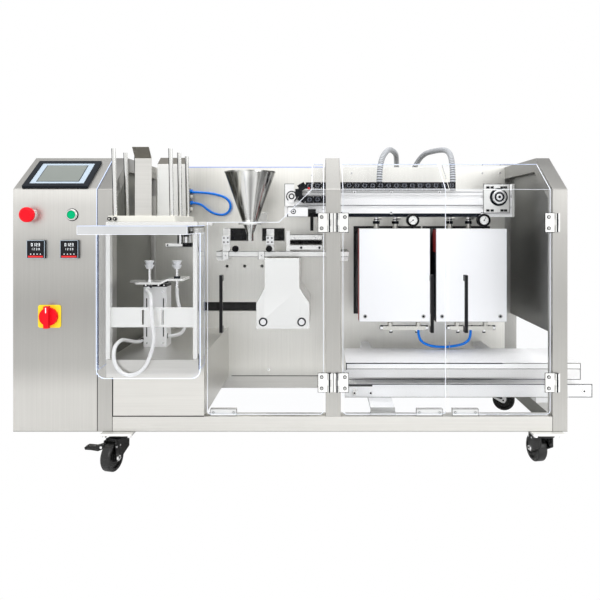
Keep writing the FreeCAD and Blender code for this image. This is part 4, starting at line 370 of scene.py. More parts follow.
@dataclass(frozen=True)
class Plastic:
    """Moulded plastic, paint or rubber with a fine grain."""

    name: str
    colour: Colour
    roughness: float = 0.45
    coat: float = 0.0
    gloss: float = 0.35
    swing: float = 0.06
    pores: float = 900.0
    relief: float = 0.12

    def build(self, groups: NodeGroups) -> bpy.types.Material:
        """Make the material."""
        shader = Shader(self.name, groups)
        shader.set(Coat_Weight=self.coat, Specular_IOR_Level=self.gloss)
        grain = shader.group(groups.brushing, (self.pores,) * 3, 0.6)
        clouding = shader.group(groups.clouding, (9.0, 9.0, 9.0), 1.0)
        shader.tint(clouding.outputs["Tone"], shaded(self.colour, 1 - self.swing), shaded(self.colour, 1 + self.swing))
        shader.vary(grain.outputs["Tone"], self.roughness * 0.9, self.roughness * 1.1)
        shader.bump(grain.outputs["Height"], self.relief, BUMP_PLASTIC)
        return shader.material


@dataclass(frozen=True)
class ClearSheet:
    """Clear acrylic sheet."""

    name: str
    colour: Colour
    roughness: float = 0.006
    ior: float = 1.12

    def build(self, groups: NodeGroups) -> bpy.types.Material:
        """Make the material."""
        shader = Shader(self.name, groups)
        shader.set(Transmission_Weight=1.0, IOR=self.ior)
        clouding = shader.group(groups.clouding, (2.0, 2.0, 2.0), 0.6)
        shader.tint(clouding.outputs["Tone"], shaded(self.colour, 0.99), self.colour)
        shader.vary(clouding.outputs["Tone"], self.roughness, self.roughness * 2)
        return shader.material


@dataclass(frozen=True)
class LitEdge:
    """Bright strip with an emission glow: on the clear sheets' cut edges a painted glow that stands for the light the
    sheet carries, on the controllers the lit digits.
    """

    name: str
    colour: Colour
    glow: float = 0.35

    def build(self, groups: NodeGroups) -> bpy.types.Material:
        """Make the material."""
        shader = Shader(self.name, groups)
        shader.set(Roughness=0.25, Emission_Strength=self.glow)
        clouding = shader.group(groups.clouding, (14.0, 14.0, 14.0), 1.2)
        shader.tint(clouding.outputs["Tone"], shaded(self.colour, 0.86), self.colour)
        shader.tint(clouding.outputs["Tone"], shaded(self.colour, 0.8), self.colour, target="Emission Color")
        return shader.material


@dataclass(frozen=True)
class FunnelSteel:
    """Polished cone with painted reflections: bright and dark bands down its sides, painted into its colour by the
    angle round its axis.
    """

    name: str
    centre: tuple[float, float]
    bands: tuple[tuple[float, float], ...] = (
        (0.0, 0.55), (0.045, 0.16), (0.09, 0.62), (0.15, 0.2), (0.19, 0.75), (0.235, 0.9), (0.27, 0.34),
        (0.31, 0.8), (0.35, 0.24), (0.4, 0.7), (0.45, 0.14), (0.5, 0.6), (0.6, 0.25), (0.7, 0.7), (0.8, 0.2),
        (0.9, 0.65), (1.0, 0.55))

    def build(self, groups: NodeGroups) -> bpy.types.Material:
        """Make the material."""
        shader = Shader(self.name, groups)
        shader.set(Metallic=1.0)
        # Painted reflections: the band tones become the base colour by the angle round the funnel's axis.
        mapping = shader.tree.nodes.new("ShaderNodeMapping")
        mapping.inputs["Location"].default_value = (-self.centre[0], -self.centre[1], 0.0)
        turn = shader.tree.nodes.new("ShaderNodeTexGradient")
        turn.gradient_type = "RADIAL"
        ramp = shader.tree.nodes.new("ShaderNodeValToRGB")
        ramp.color_ramp.interpolation = "EASE"
        first, last = ramp.color_ramp.elements
        first.color = (*(self.bands[0][1],) * 3, 1.0)
        last.color = (*(self.bands[-1][1],) * 3, 1.0)
        for place, tone in self.bands[1:-1]:
            ramp.color_ramp.elements.new(place).color = (tone, tone, tone * 0.97, 1.0)
        brushing = shader.group(groups.brushing, Grain.ALONG_Z.value, 0.4)
        shader.link(shader.place.outputs["Object"], mapping.inputs["Vector"])
        shader.link(mapping.outputs[0], turn.inputs["Vector"])
        shader.link(turn.outputs["Fac"], ramp.inputs["Fac"])
        shader.link(ramp.outputs["Color"], shader.principled.inputs["Base Color"])
        shader.vary(brushing.outputs["Tone"], 0.12, 0.24)
        shader.bump(brushing.outputs["Height"], 0.04, BUMP_FUNNEL)
        return shader.material


@dataclass(frozen=True)
class Corrugated:
    """Ribbed conduit: rings along the hose's own length, its colour darkened in the troughs and lightened on the
    crests as painted shade and highlight.
    """

    name: str
    colour: Colour
    ribs: float = 72.0

    def build(self, groups: NodeGroups) -> bpy.types.Material:
        """Make the material."""
        shader = Shader(self.name, groups)
        wave = shader.tree.nodes.new("ShaderNodeTexWave")
        wave.bands_direction = "X"
        wave.inputs["Scale"].default_value = self.ribs * 2 * math.pi / WAVE_UNIT
        shader.link(shader.place.outputs["UV"], wave.inputs["Vector"])
        # Painted shade in the troughs and painted highlight on the crests.
        shader.tint(wave.outputs["Fac"], shaded(self.colour, 0.2), shaded(self.colour, 1.3))
        shader.vary(wave.outputs["Fac"], 0.5, 0.35)
        shader.bump(wave.outputs["Fac"], 0.8, BUMP_RIBS)
        return shader.material


@dataclass(frozen=True)
class Display:
    """Unlit touch display: a soft grey sheen down the glass."""

    name: str
    colour: Colour

    def build(self, groups: NodeGroups) -> bpy.types.Material:
        """Make the material."""
        shader = Shader(self.name, groups)
        shader.set(Specular_IOR_Level=0.15)
        clouding = shader.group(groups.clouding, (3.0, 6.0, 3.0), 1.4)
        shader.tint(clouding.outputs["Tone"], shaded(self.colour, 0.9), shaded(self.colour, 1.1))
        shader.vary(clouding.outputs["Tone"], 0.2, 0.3)
        return shader.material


STEEL = (0.66, 0.65, 0.62)
# Painted sheen and shade for the posts, the rear wall and the cabinet: factors on the base colour by height in
# millimetres, lighter where soft reflections fall, darker where shade falls.
POST_PAINTED_SHEEN = (
    (98.0, 0.72), (250.0, 0.64), (420.0, 0.6), (600.0, 0.66), (742.0, 0.74), (748.0, 0.38), (842.0, 0.44))
WALL_PAINTED_SHEEN = (
    (138.0, 0.8), (180.0, 1.0), (300.0, 0.96), (450.0, 0.9), (620.0, 1.05), (760.0, 1.0), (842.0, 1.1))
CABINET_PAINTED_SHEEN = (
    (98.0, 0.84), (190.0, 0.82), (290.0, 0.6), (430.0, 0.55), (560.0, 0.68), (690.0, 0.92), (743.0, 1.1),
    (750.0, 0.54), (842.0, 0.5))


class Finishes:
    """Every finish of the machine, by a maker's plain name."""

    def __init__(self, groups: NodeGroups, funnel_centre: tuple[float, float]) -> None:
        """Build all materials."""
        recipes = (
            Metal("steel_upright", STEEL, 0.36, Grain.ALONG_Z, swing=0.15, painted_sheen=POST_PAINTED_SHEEN),
            Metal("steel_level", shaded(STEEL, 0.96), 0.36, Grain.ALONG_X, swing=0.15),
            Metal("steel_cabinet", (0.68, 0.67, 0.64), 0.38, Grain.ALONG_Z, streak=0.7, painted_sheen=CABINET_PAINTED_SHEEN),
            Metal("steel_wall", (0.82, 0.81, 0.765), 0.34, Grain.ALONG_Z, streak=0.6, swing=0.12,
                  painted_sheen=WALL_PAINTED_SHEEN),
            Metal("steel_shade", (0.2, 0.2, 0.18), 0.5, Grain.ALONG_Z),
            Metal("steel_inner_shade", (0.25, 0.25, 0.24), 0.42, Grain.ALONG_Z, swing=0.16),
            Metal("steel_lip_shade", (0.17, 0.16, 0.14), 0.35, Grain.ALONG_X),
            Metal("steel_rod", (0.82, 0.82, 0.8), 0.16, Grain.ALONG_Z, swing=0.05),
            Metal("cover_sheet", (0.93, 0.935, 0.95), 0.38, Grain.ALONG_Z, streak=0.4, swing=0.04, metallic=0.2),
            Metal("steel_bright", (0.87, 0.87, 0.85), 0.26, Grain.ALONG_X, swing=0.05, metallic=0.6),
            Metal("steel_mid", (0.5, 0.5, 0.49), 0.3, Grain.ALONG_X, swing=0.08),
            Metal("steel_tray", (0.97, 0.97, 0.97), 0.45, Grain.ALONG_X, swing=0.02, metallic=0.0),
            Metal("steel_chrome", (0.86, 0.86, 0.86), 0.1, Grain.EVEN, swing=0.04, relief=0.02),
            Metal("aluminium", (0.95, 0.95, 0.95), 0.36, Grain.ALONG_X, swing=0.03, metallic=0.25),
            Metal("nickel", (0.7, 0.69, 0.64), 0.28, Grain.EVEN, swing=0.12),
            FunnelSteel("steel_funnel", funnel_centre),
            Plastic("white_paint", (0.9, 0.905, 0.91), 0.4, swing=0.02, relief=0.04),
            Plastic("cream_block", (0.84, 0.83, 0.76), 0.5, swing=0.03),
            Plastic("black_moulded", (0.008, 0.008, 0.009), 0.38, gloss=0.12),
            Plastic("black_chain", (0.01, 0.011, 0.014), 0.42, gloss=0.15),
            Plastic("black_paint", (0.006, 0.006, 0.006), 0.28, gloss=0.35),
            Plastic("tread_rubber", (0.009, 0.009, 0.009), 0.24, gloss=0.5, swing=0.4),
            Plastic("red_button", (0.8, 0.006, 0.016), 0.42, gloss=0.12),
            Plastic("red_seal", (0.42, 0.02, 0.02), 0.5),
            Plastic("green_button", (0.0, 0.42, 0.165), 0.42, gloss=0.06),
            Plastic("yellow_plate", (0.95, 0.72, 0.02), 0.4),
            Plastic("white_rubber", (0.86, 0.87, 0.89), 0.4),
            Plastic("white_hose", (0.88, 0.88, 0.88), 0.3, coat=0.2, swing=0.03),
            Plastic("blue_tube", (0.0, 0.19, 0.78), 0.25, gloss=0.3, swing=0.1),
            Plastic("bezel", (0.012, 0.015, 0.02), 0.5, gloss=0.06),
            Plastic("bezel_inner", (0.42, 0.5, 0.58), 0.5, gloss=0.1),
            Plastic("chain_ring", (0.17, 0.185, 0.22), 0.35),
            Plastic("meter_face", (0.012, 0.012, 0.015), 0.3, gloss=0.15),
            Plastic("meter_red", (0.75, 0.03, 0.03), 0.4, gloss=0.1),
            Plastic("dial_white", (0.85, 0.85, 0.83), 0.45),
            Display("display_grey", (0.2, 0.22, 0.205)),
            ClearSheet("clear_sheet", (0.985, 0.99, 1.0)),
            ClearSheet("door_sheet", (0.985, 0.99, 1.0), ior=1.03),
            # Painted glow on the clear sheets' cut edges and the hood's edges.
            LitEdge("sheet_edge", (0.88, 0.91, 0.98), 0.16),
            LitEdge("sheet_band_glow", (0.5, 0.51, 0.52), 0.08),
            LitEdge("guard_edge", (0.78, 0.85, 1.0), 0.7),
            LitEdge("sheet_edge_blue", (0.62, 0.72, 0.98), 0.3),
            LitEdge("hood_edge", (0.4, 0.5, 0.92), 0.25),
            LitEdge("meter_digits", (0.85, 0.88, 0.9), 0.5),
            Corrugated("ribbed_conduit", (0.52, 0.54, 0.57), ribs=58.0),
        )
        self.materials = {recipe.name: recipe.build(groups) for recipe in recipes}

    def __getitem__(self, name: str) -> bpy.types.Material:
        """The material of a finish."""
        return self.materials[name]


class HeadField:
    """Geometry Nodes tree that sets one turned head on every point of a mesh."""

    def __init__(self) -> None:
        """Build the tree once."""
        tree = bpy.data.node_groups.new("head_field", "GeometryNodeTree")
        face = tree.interface.new_socket
        face("Geometry", in_out="INPUT", socket_type="NodeSocketGeometry")
        sockets = {
            "Radius": "NodeSocketFloat", "Height": "NodeSocketFloat", "Recess": "NodeSocketFloat",
            "Sides": "NodeSocketInt", "Recess Sides": "NodeSocketInt", "Head": "NodeSocketMaterial",
            "Inside": "NodeSocketMaterial",
        }
        self.sockets = {name: face(name, in_out="INPUT", socket_type=kind).identifier
                        for name, kind in sockets.items()}
        face("Geometry", in_out="OUTPUT", socket_type="NodeSocketGeometry")
        self.tree = tree
        entry = tree.nodes.new("NodeGroupInput")
        exit_node = tree.nodes.new("NodeGroupOutput")
        head = self._disc(entry, "Radius", "Height", "Sides", "Head", 0.5)
        recess = self._disc(entry, "Recess", "Height", "Recess Sides", "Inside", 0.62)
        join = tree.nodes.new("GeometryNodeJoinGeometry")
        tree.links.new(head, join.inputs[0])
        tree.links.new(recess, join.inputs[0])
        named = tree.nodes.new("GeometryNodeInputNamedAttribute")
        named.data_type = "FLOAT_VECTOR"
        named.inputs["Name"].default_value = "facing"
        align = tree.nodes.new("FunctionNodeAlignRotationToVector")
        align.axis = "Z"
        spread = tree.nodes.new("GeometryNodeInstanceOnPoints")
        real = tree.nodes.new("GeometryNodeRealizeInstances")
        link = tree.links.new
        link(named.outputs["Attribute"], align.inputs["Vector"])
        link(entry.outputs["Geometry"], spread.inputs["Points"])
        link(join.outputs[0], spread.inputs["Instance"])
        link(align.outputs[0], spread.inputs["Rotation"])
        link(spread.outputs[0], real.inputs[0])
        link(real.outputs[0], exit_node.inputs[0])

    def _disc(self, entry: bpy.types.Node, radius: str, height: str, sides: str, finish: str,
              rise: float) -> bpy.types.NodeSocket:
        """A short cylinder whose foot stands at the point.

        Args:
            entry: The group's input node.
            radius: Input that holds its radius.
            height: Input that holds its height.
            sides: Input that holds its number of sides.
            finish: Input that holds its material.
            rise: Share of the height that its middle is lifted.

        Returns:
            The finished geometry's socket.
        """
        tree = self.tree
        drum = tree.nodes.new("GeometryNodeMeshCylinder")
        lift = math_node(tree, "MULTIPLY", None, rise)
        combine = tree.nodes.new("ShaderNodeCombineXYZ")
        move = tree.nodes.new("GeometryNodeTransform")
        paint = tree.nodes.new("GeometryNodeSetMaterial")
        link = tree.links.new
        link(entry.outputs[sides], drum.inputs["Vertices"])
        link(entry.outputs[radius], drum.inputs["Radius"])
        link(entry.outputs[height], drum.inputs["Depth"])
        link(entry.outputs[height], lift.inputs[0])
        link(lift.outputs[0], combine.inputs["Z"])
        link(drum.outputs["Mesh"], move.inputs["Geometry"])
        link(combine.outputs[0], move.inputs["Translation"])
        link(move.outputs[0], paint.inputs["Geometry"])
        link(entry.outputs[finish], paint.inputs["Material"])
        return paint.outputs[0]


@dataclass(frozen=True)
class Head:
    """Size of a screw head, ring or knob, in millimetres."""

    radius: float
    height: float
    recess: float
    sides: int = 14
    recess_sides: int = 6
    finish: str = "steel_chrome"
    inside: str = "black_moulded"


class Bench:
    """Where pieces are made: holds the frame, the datum and the finishes."""

    def __init__(self, frame: dict) -> None:
        """Read the frame and build the finishes.
        """
        self.frame = frame
        self.datum = Datum()
        low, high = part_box("funnel")
        self.funnel_centre = ((low.x + high.x) / 2, (low.y + high.y) / 2)
        self.finishes = Finishes(NodeGroups(), self.funnel_centre)
        self.heads = HeadField()

    def box(self, node: str) -> tuple[Vector, Vector]:
        """A node's low and high corners in datum millimetres."""
        low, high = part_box(node)
        return self.datum.read(low), self.datum.read(high)

    def paint(self, finish: str, *nodes: str) -> None:
        """Give whole CAD nodes one finish."""
        for node in nodes:
            slots = self.frame["nodes"][node].material_slots
            for slot in slots:
                slot.material = self.finishes[finish]

    def settle(self, item: bpy.types.Object, body: str, slot: str | None = None,
               instead_of: Iterable[str] = ()) -> bpy.types.Object:
        """Let a finished piece ride on its body and stand for the nodes that it replaces.

        Args:
            item: The finished piece.
            body: The body that carries it.
            slot: The record's material slot; not used.
            instead_of: CAD nodes that it replaces.

        Returns:
            The piece.
        """
        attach(item, body)
        if instead_of:
            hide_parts(*instead_of)
        LOG.info("%s rides on %s", item.name, body)
        return item

    def recast(self, node: str, slot: str, paints: Sequence[tuple[str, Test]], bevel: float = 0.6,
               body: str = "machine", smooth: bool = True) -> bpy.types.Object:
        """Stand a welded copy in for a node, with a finish for each of its regions.

        Args:
            node: The CAD node.
            slot: The record's material slot.
            paints: Pairs of finish and test; a face takes the first whose test its centre passes.
            bevel: Width of its softened edges in millimetres; 0 for none.
            body: The body that carries it.
            smooth: Whether its round faces are shaded smooth; clear sheets stay flat.

        Returns:
            The new piece.
        """
        mesh = self.frame["nodes"][node].data.copy()
        mesh.materials.clear()
        for finish, _ in paints:
            mesh.materials.append(self.finishes[finish])
        shape = bmesh.new()
        shape.from_mesh(mesh)
        if smooth:
            bmesh.ops.remove_doubles(shape, verts=shape.verts, dist=WELD_DISTANCE)
            bmesh.ops.dissolve_limit(shape, angle_limit=FLAT_ANGLE, verts=shape.verts, edges=shape.edges)
        for face in shape.faces:
            centre = self.datum.read(face.calc_center_median())
            face.material_index = next(i for i, (_, test) in enumerate(paints) if test(centre))
            face.smooth = smooth
        shape.to_mesh(mesh)
        shape.free()
        item = bpy.data.objects.new(node + "_dressed", mesh)
        bpy.context.scene.collection.objects.link(item)
        mesh.set_sharp_from_angle(angle=RECAST_SHARP_ANGLE)
        if bevel:
            self.soften(item, bevel)
        return self.settle(item, body, slot, (node,))

    @staticmethod
    def soften(item: bpy.types.Object, width: float) -> None:
        """Bevel a piece's sharp edges by a width in millimetres."""
        modifier = item.modifiers.new("soft_edges", "BEVEL")
        modifier.width = width * MM
        modifier.segments = 2
        modifier.limit_method = "ANGLE"
        modifier.angle_limit = BEVEL_ANGLE
        modifier.harden_normals = True

    def scatter(self, name: str, head: Head, spots: Iterable[tuple[Point, Facing]], body: str = "machine",
                slot: str | None = None) -> bpy.types.Object:
        """Set one head on each spot through the Geometry Nodes tree.

        Args:
            name: The piece's name.
            head: The head's sizes and finishes.
            spots: Datum places with the way each head looks.
            body: The body that carries them.
            slot: The record's material slot.

        Returns:
            The piece as a plain mesh.
        """
        spots = list(spots)
        points = bpy.data.meshes.new(name + "_points")
        points.from_pydata([self.datum.at(*place) for place, _ in spots], [], [])
        facing = points.attributes.new("facing", "FLOAT_VECTOR", "POINT")
        facing.data.foreach_set("vector", [part for _, way in spots for part in way.value])
        carrier = bpy.data.objects.new(name + "_carrier", points)
        bpy.context.scene.collection.objects.link(carrier)
        modifier = carrier.modifiers.new("heads", "NODES")
        modifier.node_group = self.heads.tree
        values = {
            "Radius": head.radius * MM, "Height": head.height * MM, "Recess": head.recess * MM,
            "Sides": head.sides, "Recess Sides": head.recess_sides,
            "Head": self.finishes[head.finish], "Inside": self.finishes[head.inside],
        }
        for socket, value in values.items():
            modifier[self.heads.sockets[socket]] = value
        bpy.context.view_layer.update()
        graph = bpy.context.evaluated_depsgraph_get()
        mesh = bpy.data.meshes.new_from_object(carrier.evaluated_get(graph))
        bpy.data.objects.remove(carrier)
        item = bpy.data.objects.new(name, mesh)
        bpy.context.scene.collection.objects.link(item)
        return self.settle(item, body, slot)


class Form:
    """A mesh piece while it is built from simple solids with shared finishes."""

    def __init__(self, bench: Bench, name: str) -> None:
        """Start an empty piece."""
        self.bench = bench
        self.name = name
        self.shape = bmesh.new()
        self.finishes: list[str] = []

    def _index(self, finish: str) -> int:
        """The slot number of a finish, added when it is new."""
        if finish not in self.finishes:
            self.finishes.append(finish)
        return self.finishes.index(finish)

    def _take(self, made: Sequence[bmesh.types.BMVert], finish: str, smooth: bool = False) -> None:
        """Give the faces of new points their finish."""
        index = self._index(finish)
        for face in {face for vert in made for face in vert.link_faces}:
            face.material_index = index
            face.smooth = smooth

    def block(self, finish: str, low: Point, high: Point) -> Form:
        """Add a box between two datum corners."""
        low, high = self.bench.datum.at(*low), self.bench.datum.at(*high)
        made = bmesh.ops.create_cube(self.shape, size=1.0)["verts"]
        for vert in made:
            vert.co = Vector(low[i] + (high[i] - low[i]) * (vert.co[i] + 0.5) for i in range(3))
        self._take(made, finish)
        return self

    def drum(self, finish: str, start: Point, end: Point, radius: float, far_radius: float | None = None,
             sides: int = 24) -> Form:
        """Add a cylinder or cone between two datum places."""
        start, end = self.bench.datum.at(*start), self.bench.datum.at(*end)
        along = end - start
        turn = along.to_track_quat("Z", "Y").to_matrix().to_4x4()
        far = radius if far_radius is None else far_radius
        made = bmesh.ops.create_cone(
            self.shape, cap_ends=True, segments=sides, radius1=radius * MM, radius2=far * MM,
            depth=along.length, matrix=Matrix.Translation((start + end) / 2) @ turn)["verts"]
        self._take(made, finish, smooth=True)
        return self

    def lathe(self, finish: str, centre: Point, axis: Facing, outline: Sequence[tuple[float, float]],
              sides: int = 32, hollow: bool = False) -> Form:
        """Turn an outline round an axis through a datum place.

        Args:
            finish: Its finish.
            centre: Where the reach is zero.
            axis: The way the reach runs.
            outline: Pairs of radius and reach.
            sides: Number of sides.
            hollow: Whether the outline closes on itself and leaves the middle open.

        Returns:
            The form.
        """
        rings = []
        frame = axis.vector.to_track_quat("Z", "Y").to_matrix()
        foot = self.bench.datum.at(*centre)
        for radius, reach in outline:
            ring = []
            for step in range(sides):
                angle = 2 * math.pi * step / sides
                local = Vector((radius * math.cos(angle), radius * math.sin(angle), reach)) * MM
                ring.append(self.shape.verts.new(foot + frame @ local))
            rings.append(ring)
        index = self._index(finish)
        for lower, upper in zip(rings, rings[1:] + rings[:1] if hollow else rings[1:]):
            for step in range(sides):
                after = (step + 1) % sides
                face = self.shape.faces.new((lower[step], lower[after], upper[after], upper[step]))
                face.material_index = index
                face.smooth = True
        if not hollow:
            for ring in (rings[0][::-1], rings[-1]):
                self.shape.faces.new(ring).material_index = index
        return self

    def strip(self, finish: str, path: Sequence[Point], width: float, closed: bool = False) -> Form:
        """Add a square bar that follows datum places; its lengths overlap at the corners."""
        places = [self.bench.datum.at(*place) for place in path]
        pairs = list(zip(places, places[1:] + places[:1] if closed else places[1:]))
        thick = width * MM
        for start, end in pairs:
            along = end - start
            reach = along.length + thick
            turn = along.to_track_quat("Z", "Y").to_matrix().to_4x4()
            made = bmesh.ops.create_cube(
                self.shape, size=1.0,
                matrix=Matrix.Translation((start + end) / 2) @ turn @ Matrix.Diagonal(
                    (thick, thick, reach, 1.0)))["verts"]
            self._take(made, finish)
        return self

    def rule(self, finish: str, start: float, end: float, y: float, z: float, width: float) -> Form:
        """Add a level line from one x to another."""
        return self.strip(finish, [(start, y, z), (end, y, z)], width)

    def outline(self, finish: str, low: Point, high: Point, y: float, width: float) -> Form:
        """Add a rectangle's outline between two corners, each an x and a z."""
        (left, foot), (right, head) = low, high
        return self.strip(finish, [(left, y, foot), (right, y, foot), (right, y, head), (left, y, head)], width,
                          closed=True)

    def prism(self, finish: str, outline: Sequence[Point], push: Point) -> Form:
        """Push a flat datum outline along a vector in millimetres."""
        near = [self.shape.verts.new(self.bench.datum.at(*place)) for place in outline]
        shift = Vector(push) * MM
        far = [self.shape.verts.new(vert.co + shift) for vert in near]
        faces = [self.shape.faces.new(near), self.shape.faces.new(far[::-1])]
        for step in range(len(near)):
            after = (step + 1) % len(near)
            faces.append(self.shape.faces.new((near[after], near[step], far[step], far[after])))
        index = self._index(finish)
        for face in faces:
            face.material_index = index
        return self

    def done(self, body: str = "machine", slot: str | None = None, bevel: float = 0.0,
             instead_of: Iterable[str] = ()) -> bpy.types.Object:
        """Close the piece and hand it to its body.

        Args:
            body: The body that carries it.
            slot: The record's material slot.
            bevel: Width of its softened edges in millimetres; 0 for none.
            instead_of: CAD nodes that it replaces.

        Returns:
            The finished piece.
        """
        bmesh.ops.recalc_face_normals(self.shape, faces=self.shape.faces)
        mesh = bpy.data.meshes.new(self.name)
        self.shape.to_mesh(mesh)
        self.shape.free()
        for finish in self.finishes:
            mesh.materials.append(self.bench.finishes[finish])
        mesh.set_sharp_from_angle(angle=FORM_SHARP_ANGLE)
        item = bpy.data.objects.new(self.name, mesh)
        bpy.context.scene.collection.objects.link(item)
        if bevel:
            self.bench.soften(item, bevel)
        return self.bench.settle(item, body, slot, instead_of)


def anywhere(place: Vector) -> bool:
    """Pass every place; the last finish of a recast piece."""
    return True


@dataclass
class Studio:
    """Camera, floor, backdrop and lights, at the photograph's viewing angle."""

    eye: tuple[float, float, float] = (600.0, -1800.0, 657.7)
    lens: float = 40.44
    shift: tuple[float, float] = (-0.0367, -0.13)
    floor_side: float = 12.0
    floor_colour: float = 0.93
    sky_light: float = 0.95
    lamps: tuple[tuple[str, tuple[float, float, float], float, float], ...] = (
        ("key_panel", (-0.6, -2.6, 3.0), 2.4, 42.0),
        ("fill_panel", (2.2, -2.4, 1.6), 1.8, 18.0),
        ("top_panel", (0.2, 0.2, 3.2), 2.6, 38.0),
    )

    def build(self, bench: Bench) -> None:
        """Make the whole studio."""
        self._camera(bench)
        self._floor()
        self._world()
        for name, place, side, power in self.lamps:
            self._lamp(name, place, side, power)
        bpy.context.scene.view_settings.view_transform = "Standard"

    def _camera(self, bench: Bench) -> None:
        """Look straight along +Y from the photograph's eye point."""
        data = bpy.data.cameras.new("camera")
        data.lens = self.lens
        data.sensor_width = 36.0
        data.shift_x, data.shift_y = self.shift
        camera = bpy.data.objects.new("camera", data)
        camera.location = bench.datum.at(*self.eye)
        camera.rotation_euler = (math.radians(90.0), 0.0, 0.0)
        bpy.context.scene.collection.objects.link(camera)
        bpy.context.scene.camera = camera

    def _floor(self) -> None:
        """A plain pale floor that shows plain white to the camera and through clear sheets, and is a pale diffuse
        surface to all other rays.
        """
        half = self.floor_side / 2
        mesh = bpy.data.meshes.new("floor")
        mesh.from_pydata([(-half, -half, 0), (half, -half, 0), (half, half, 0), (-half, half, 0)], [], [(0, 1, 2, 3)])
        floor = bpy.data.objects.new("floor", mesh)
        bpy.context.scene.collection.objects.link(floor)
        material = bpy.data.materials.new("floor_white")
        material.use_nodes = True
        tree = material.node_tree
        principled = tree.nodes["Principled BSDF"]
        principled.inputs["Base Color"].default_value = (self.floor_colour,) * 3 + (1.0,)
        principled.inputs["Roughness"].default_value = 0.9
        path = tree.nodes.new("ShaderNodeLightPath")
        seen = math_node(tree, "MAXIMUM")
        white = tree.nodes.new("ShaderNodeEmission")
        mix = tree.nodes.new("ShaderNodeMixShader")
        tree.links.new(path.outputs["Is Camera Ray"], seen.inputs[0])
        tree.links.new(path.outputs["Is Transmission Ray"], seen.inputs[1])
        tree.links.new(seen.outputs[0], mix.inputs[0])
        tree.links.new(principled.outputs[0], mix.inputs[1])
        tree.links.new(white.outputs[0], mix.inputs[2])
        tree.links.new(mix.outputs[0], tree.nodes["Material Output"].inputs["Surface"])
        mesh.materials.append(material)

    def _world(self) -> None:
        """White behind the object and in its reflections, plainer as light."""
        world = bpy.data.worlds.new("studio_world")
        world.use_nodes = True
        bpy.context.scene.world = world
        tree = world.node_tree
        background = tree.nodes["Background"]
        background.inputs["Color"].default_value = (1.0, 1.0, 1.0, 1.0)
        path = tree.nodes.new("ShaderNodeLightPath")
        seen = math_node(tree, "MAXIMUM")
        clear = math_node(tree, "MAXIMUM")
        strength = tree.nodes.new("ShaderNodeMapRange")
        strength.inputs["To Min"].default_value = self.sky_light
        strength.inputs["To Max"].default_value = 1.0
        tree.links.new(path.outputs["Is Camera Ray"], seen.inputs[0])
        tree.links.new(path.outputs["Is Transmission Ray"], seen.inputs[1])
        tree.links.new(seen.outputs[0], clear.inputs[0])
        tree.links.new(path.outputs["Is Glossy Ray"], clear.inputs[1])
        tree.links.new(clear.outputs[0], strength.inputs["Value"])
        tree.links.new(strength.outputs[0], background.inputs["Strength"])

    @staticmethod
    def _lamp(name: str, place: tuple[float, float, float], side: float, power: float) -> None:
        """One soft square lamp that looks at the machine's middle."""
        data = bpy.data.lights.new(name, "AREA")
        data.size = side
        data.energy = power
        lamp = bpy.data.objects.new(name, data)
        lamp.location = place
        lamp.rotation_euler = (Vector((0.0, 0.0, 0.5)) - Vector(place)).to_track_quat("-Z", "Y").to_euler()
        bpy.context.scene.collection.objects.link(lamp)


@dataclass(frozen=True)
class Hose:
    """One hose: its route as control points in datum millimetres."""

    name: str
    finish: str
    slot: str
    diameter: float
    route: tuple[tuple[float, float, float], ...]


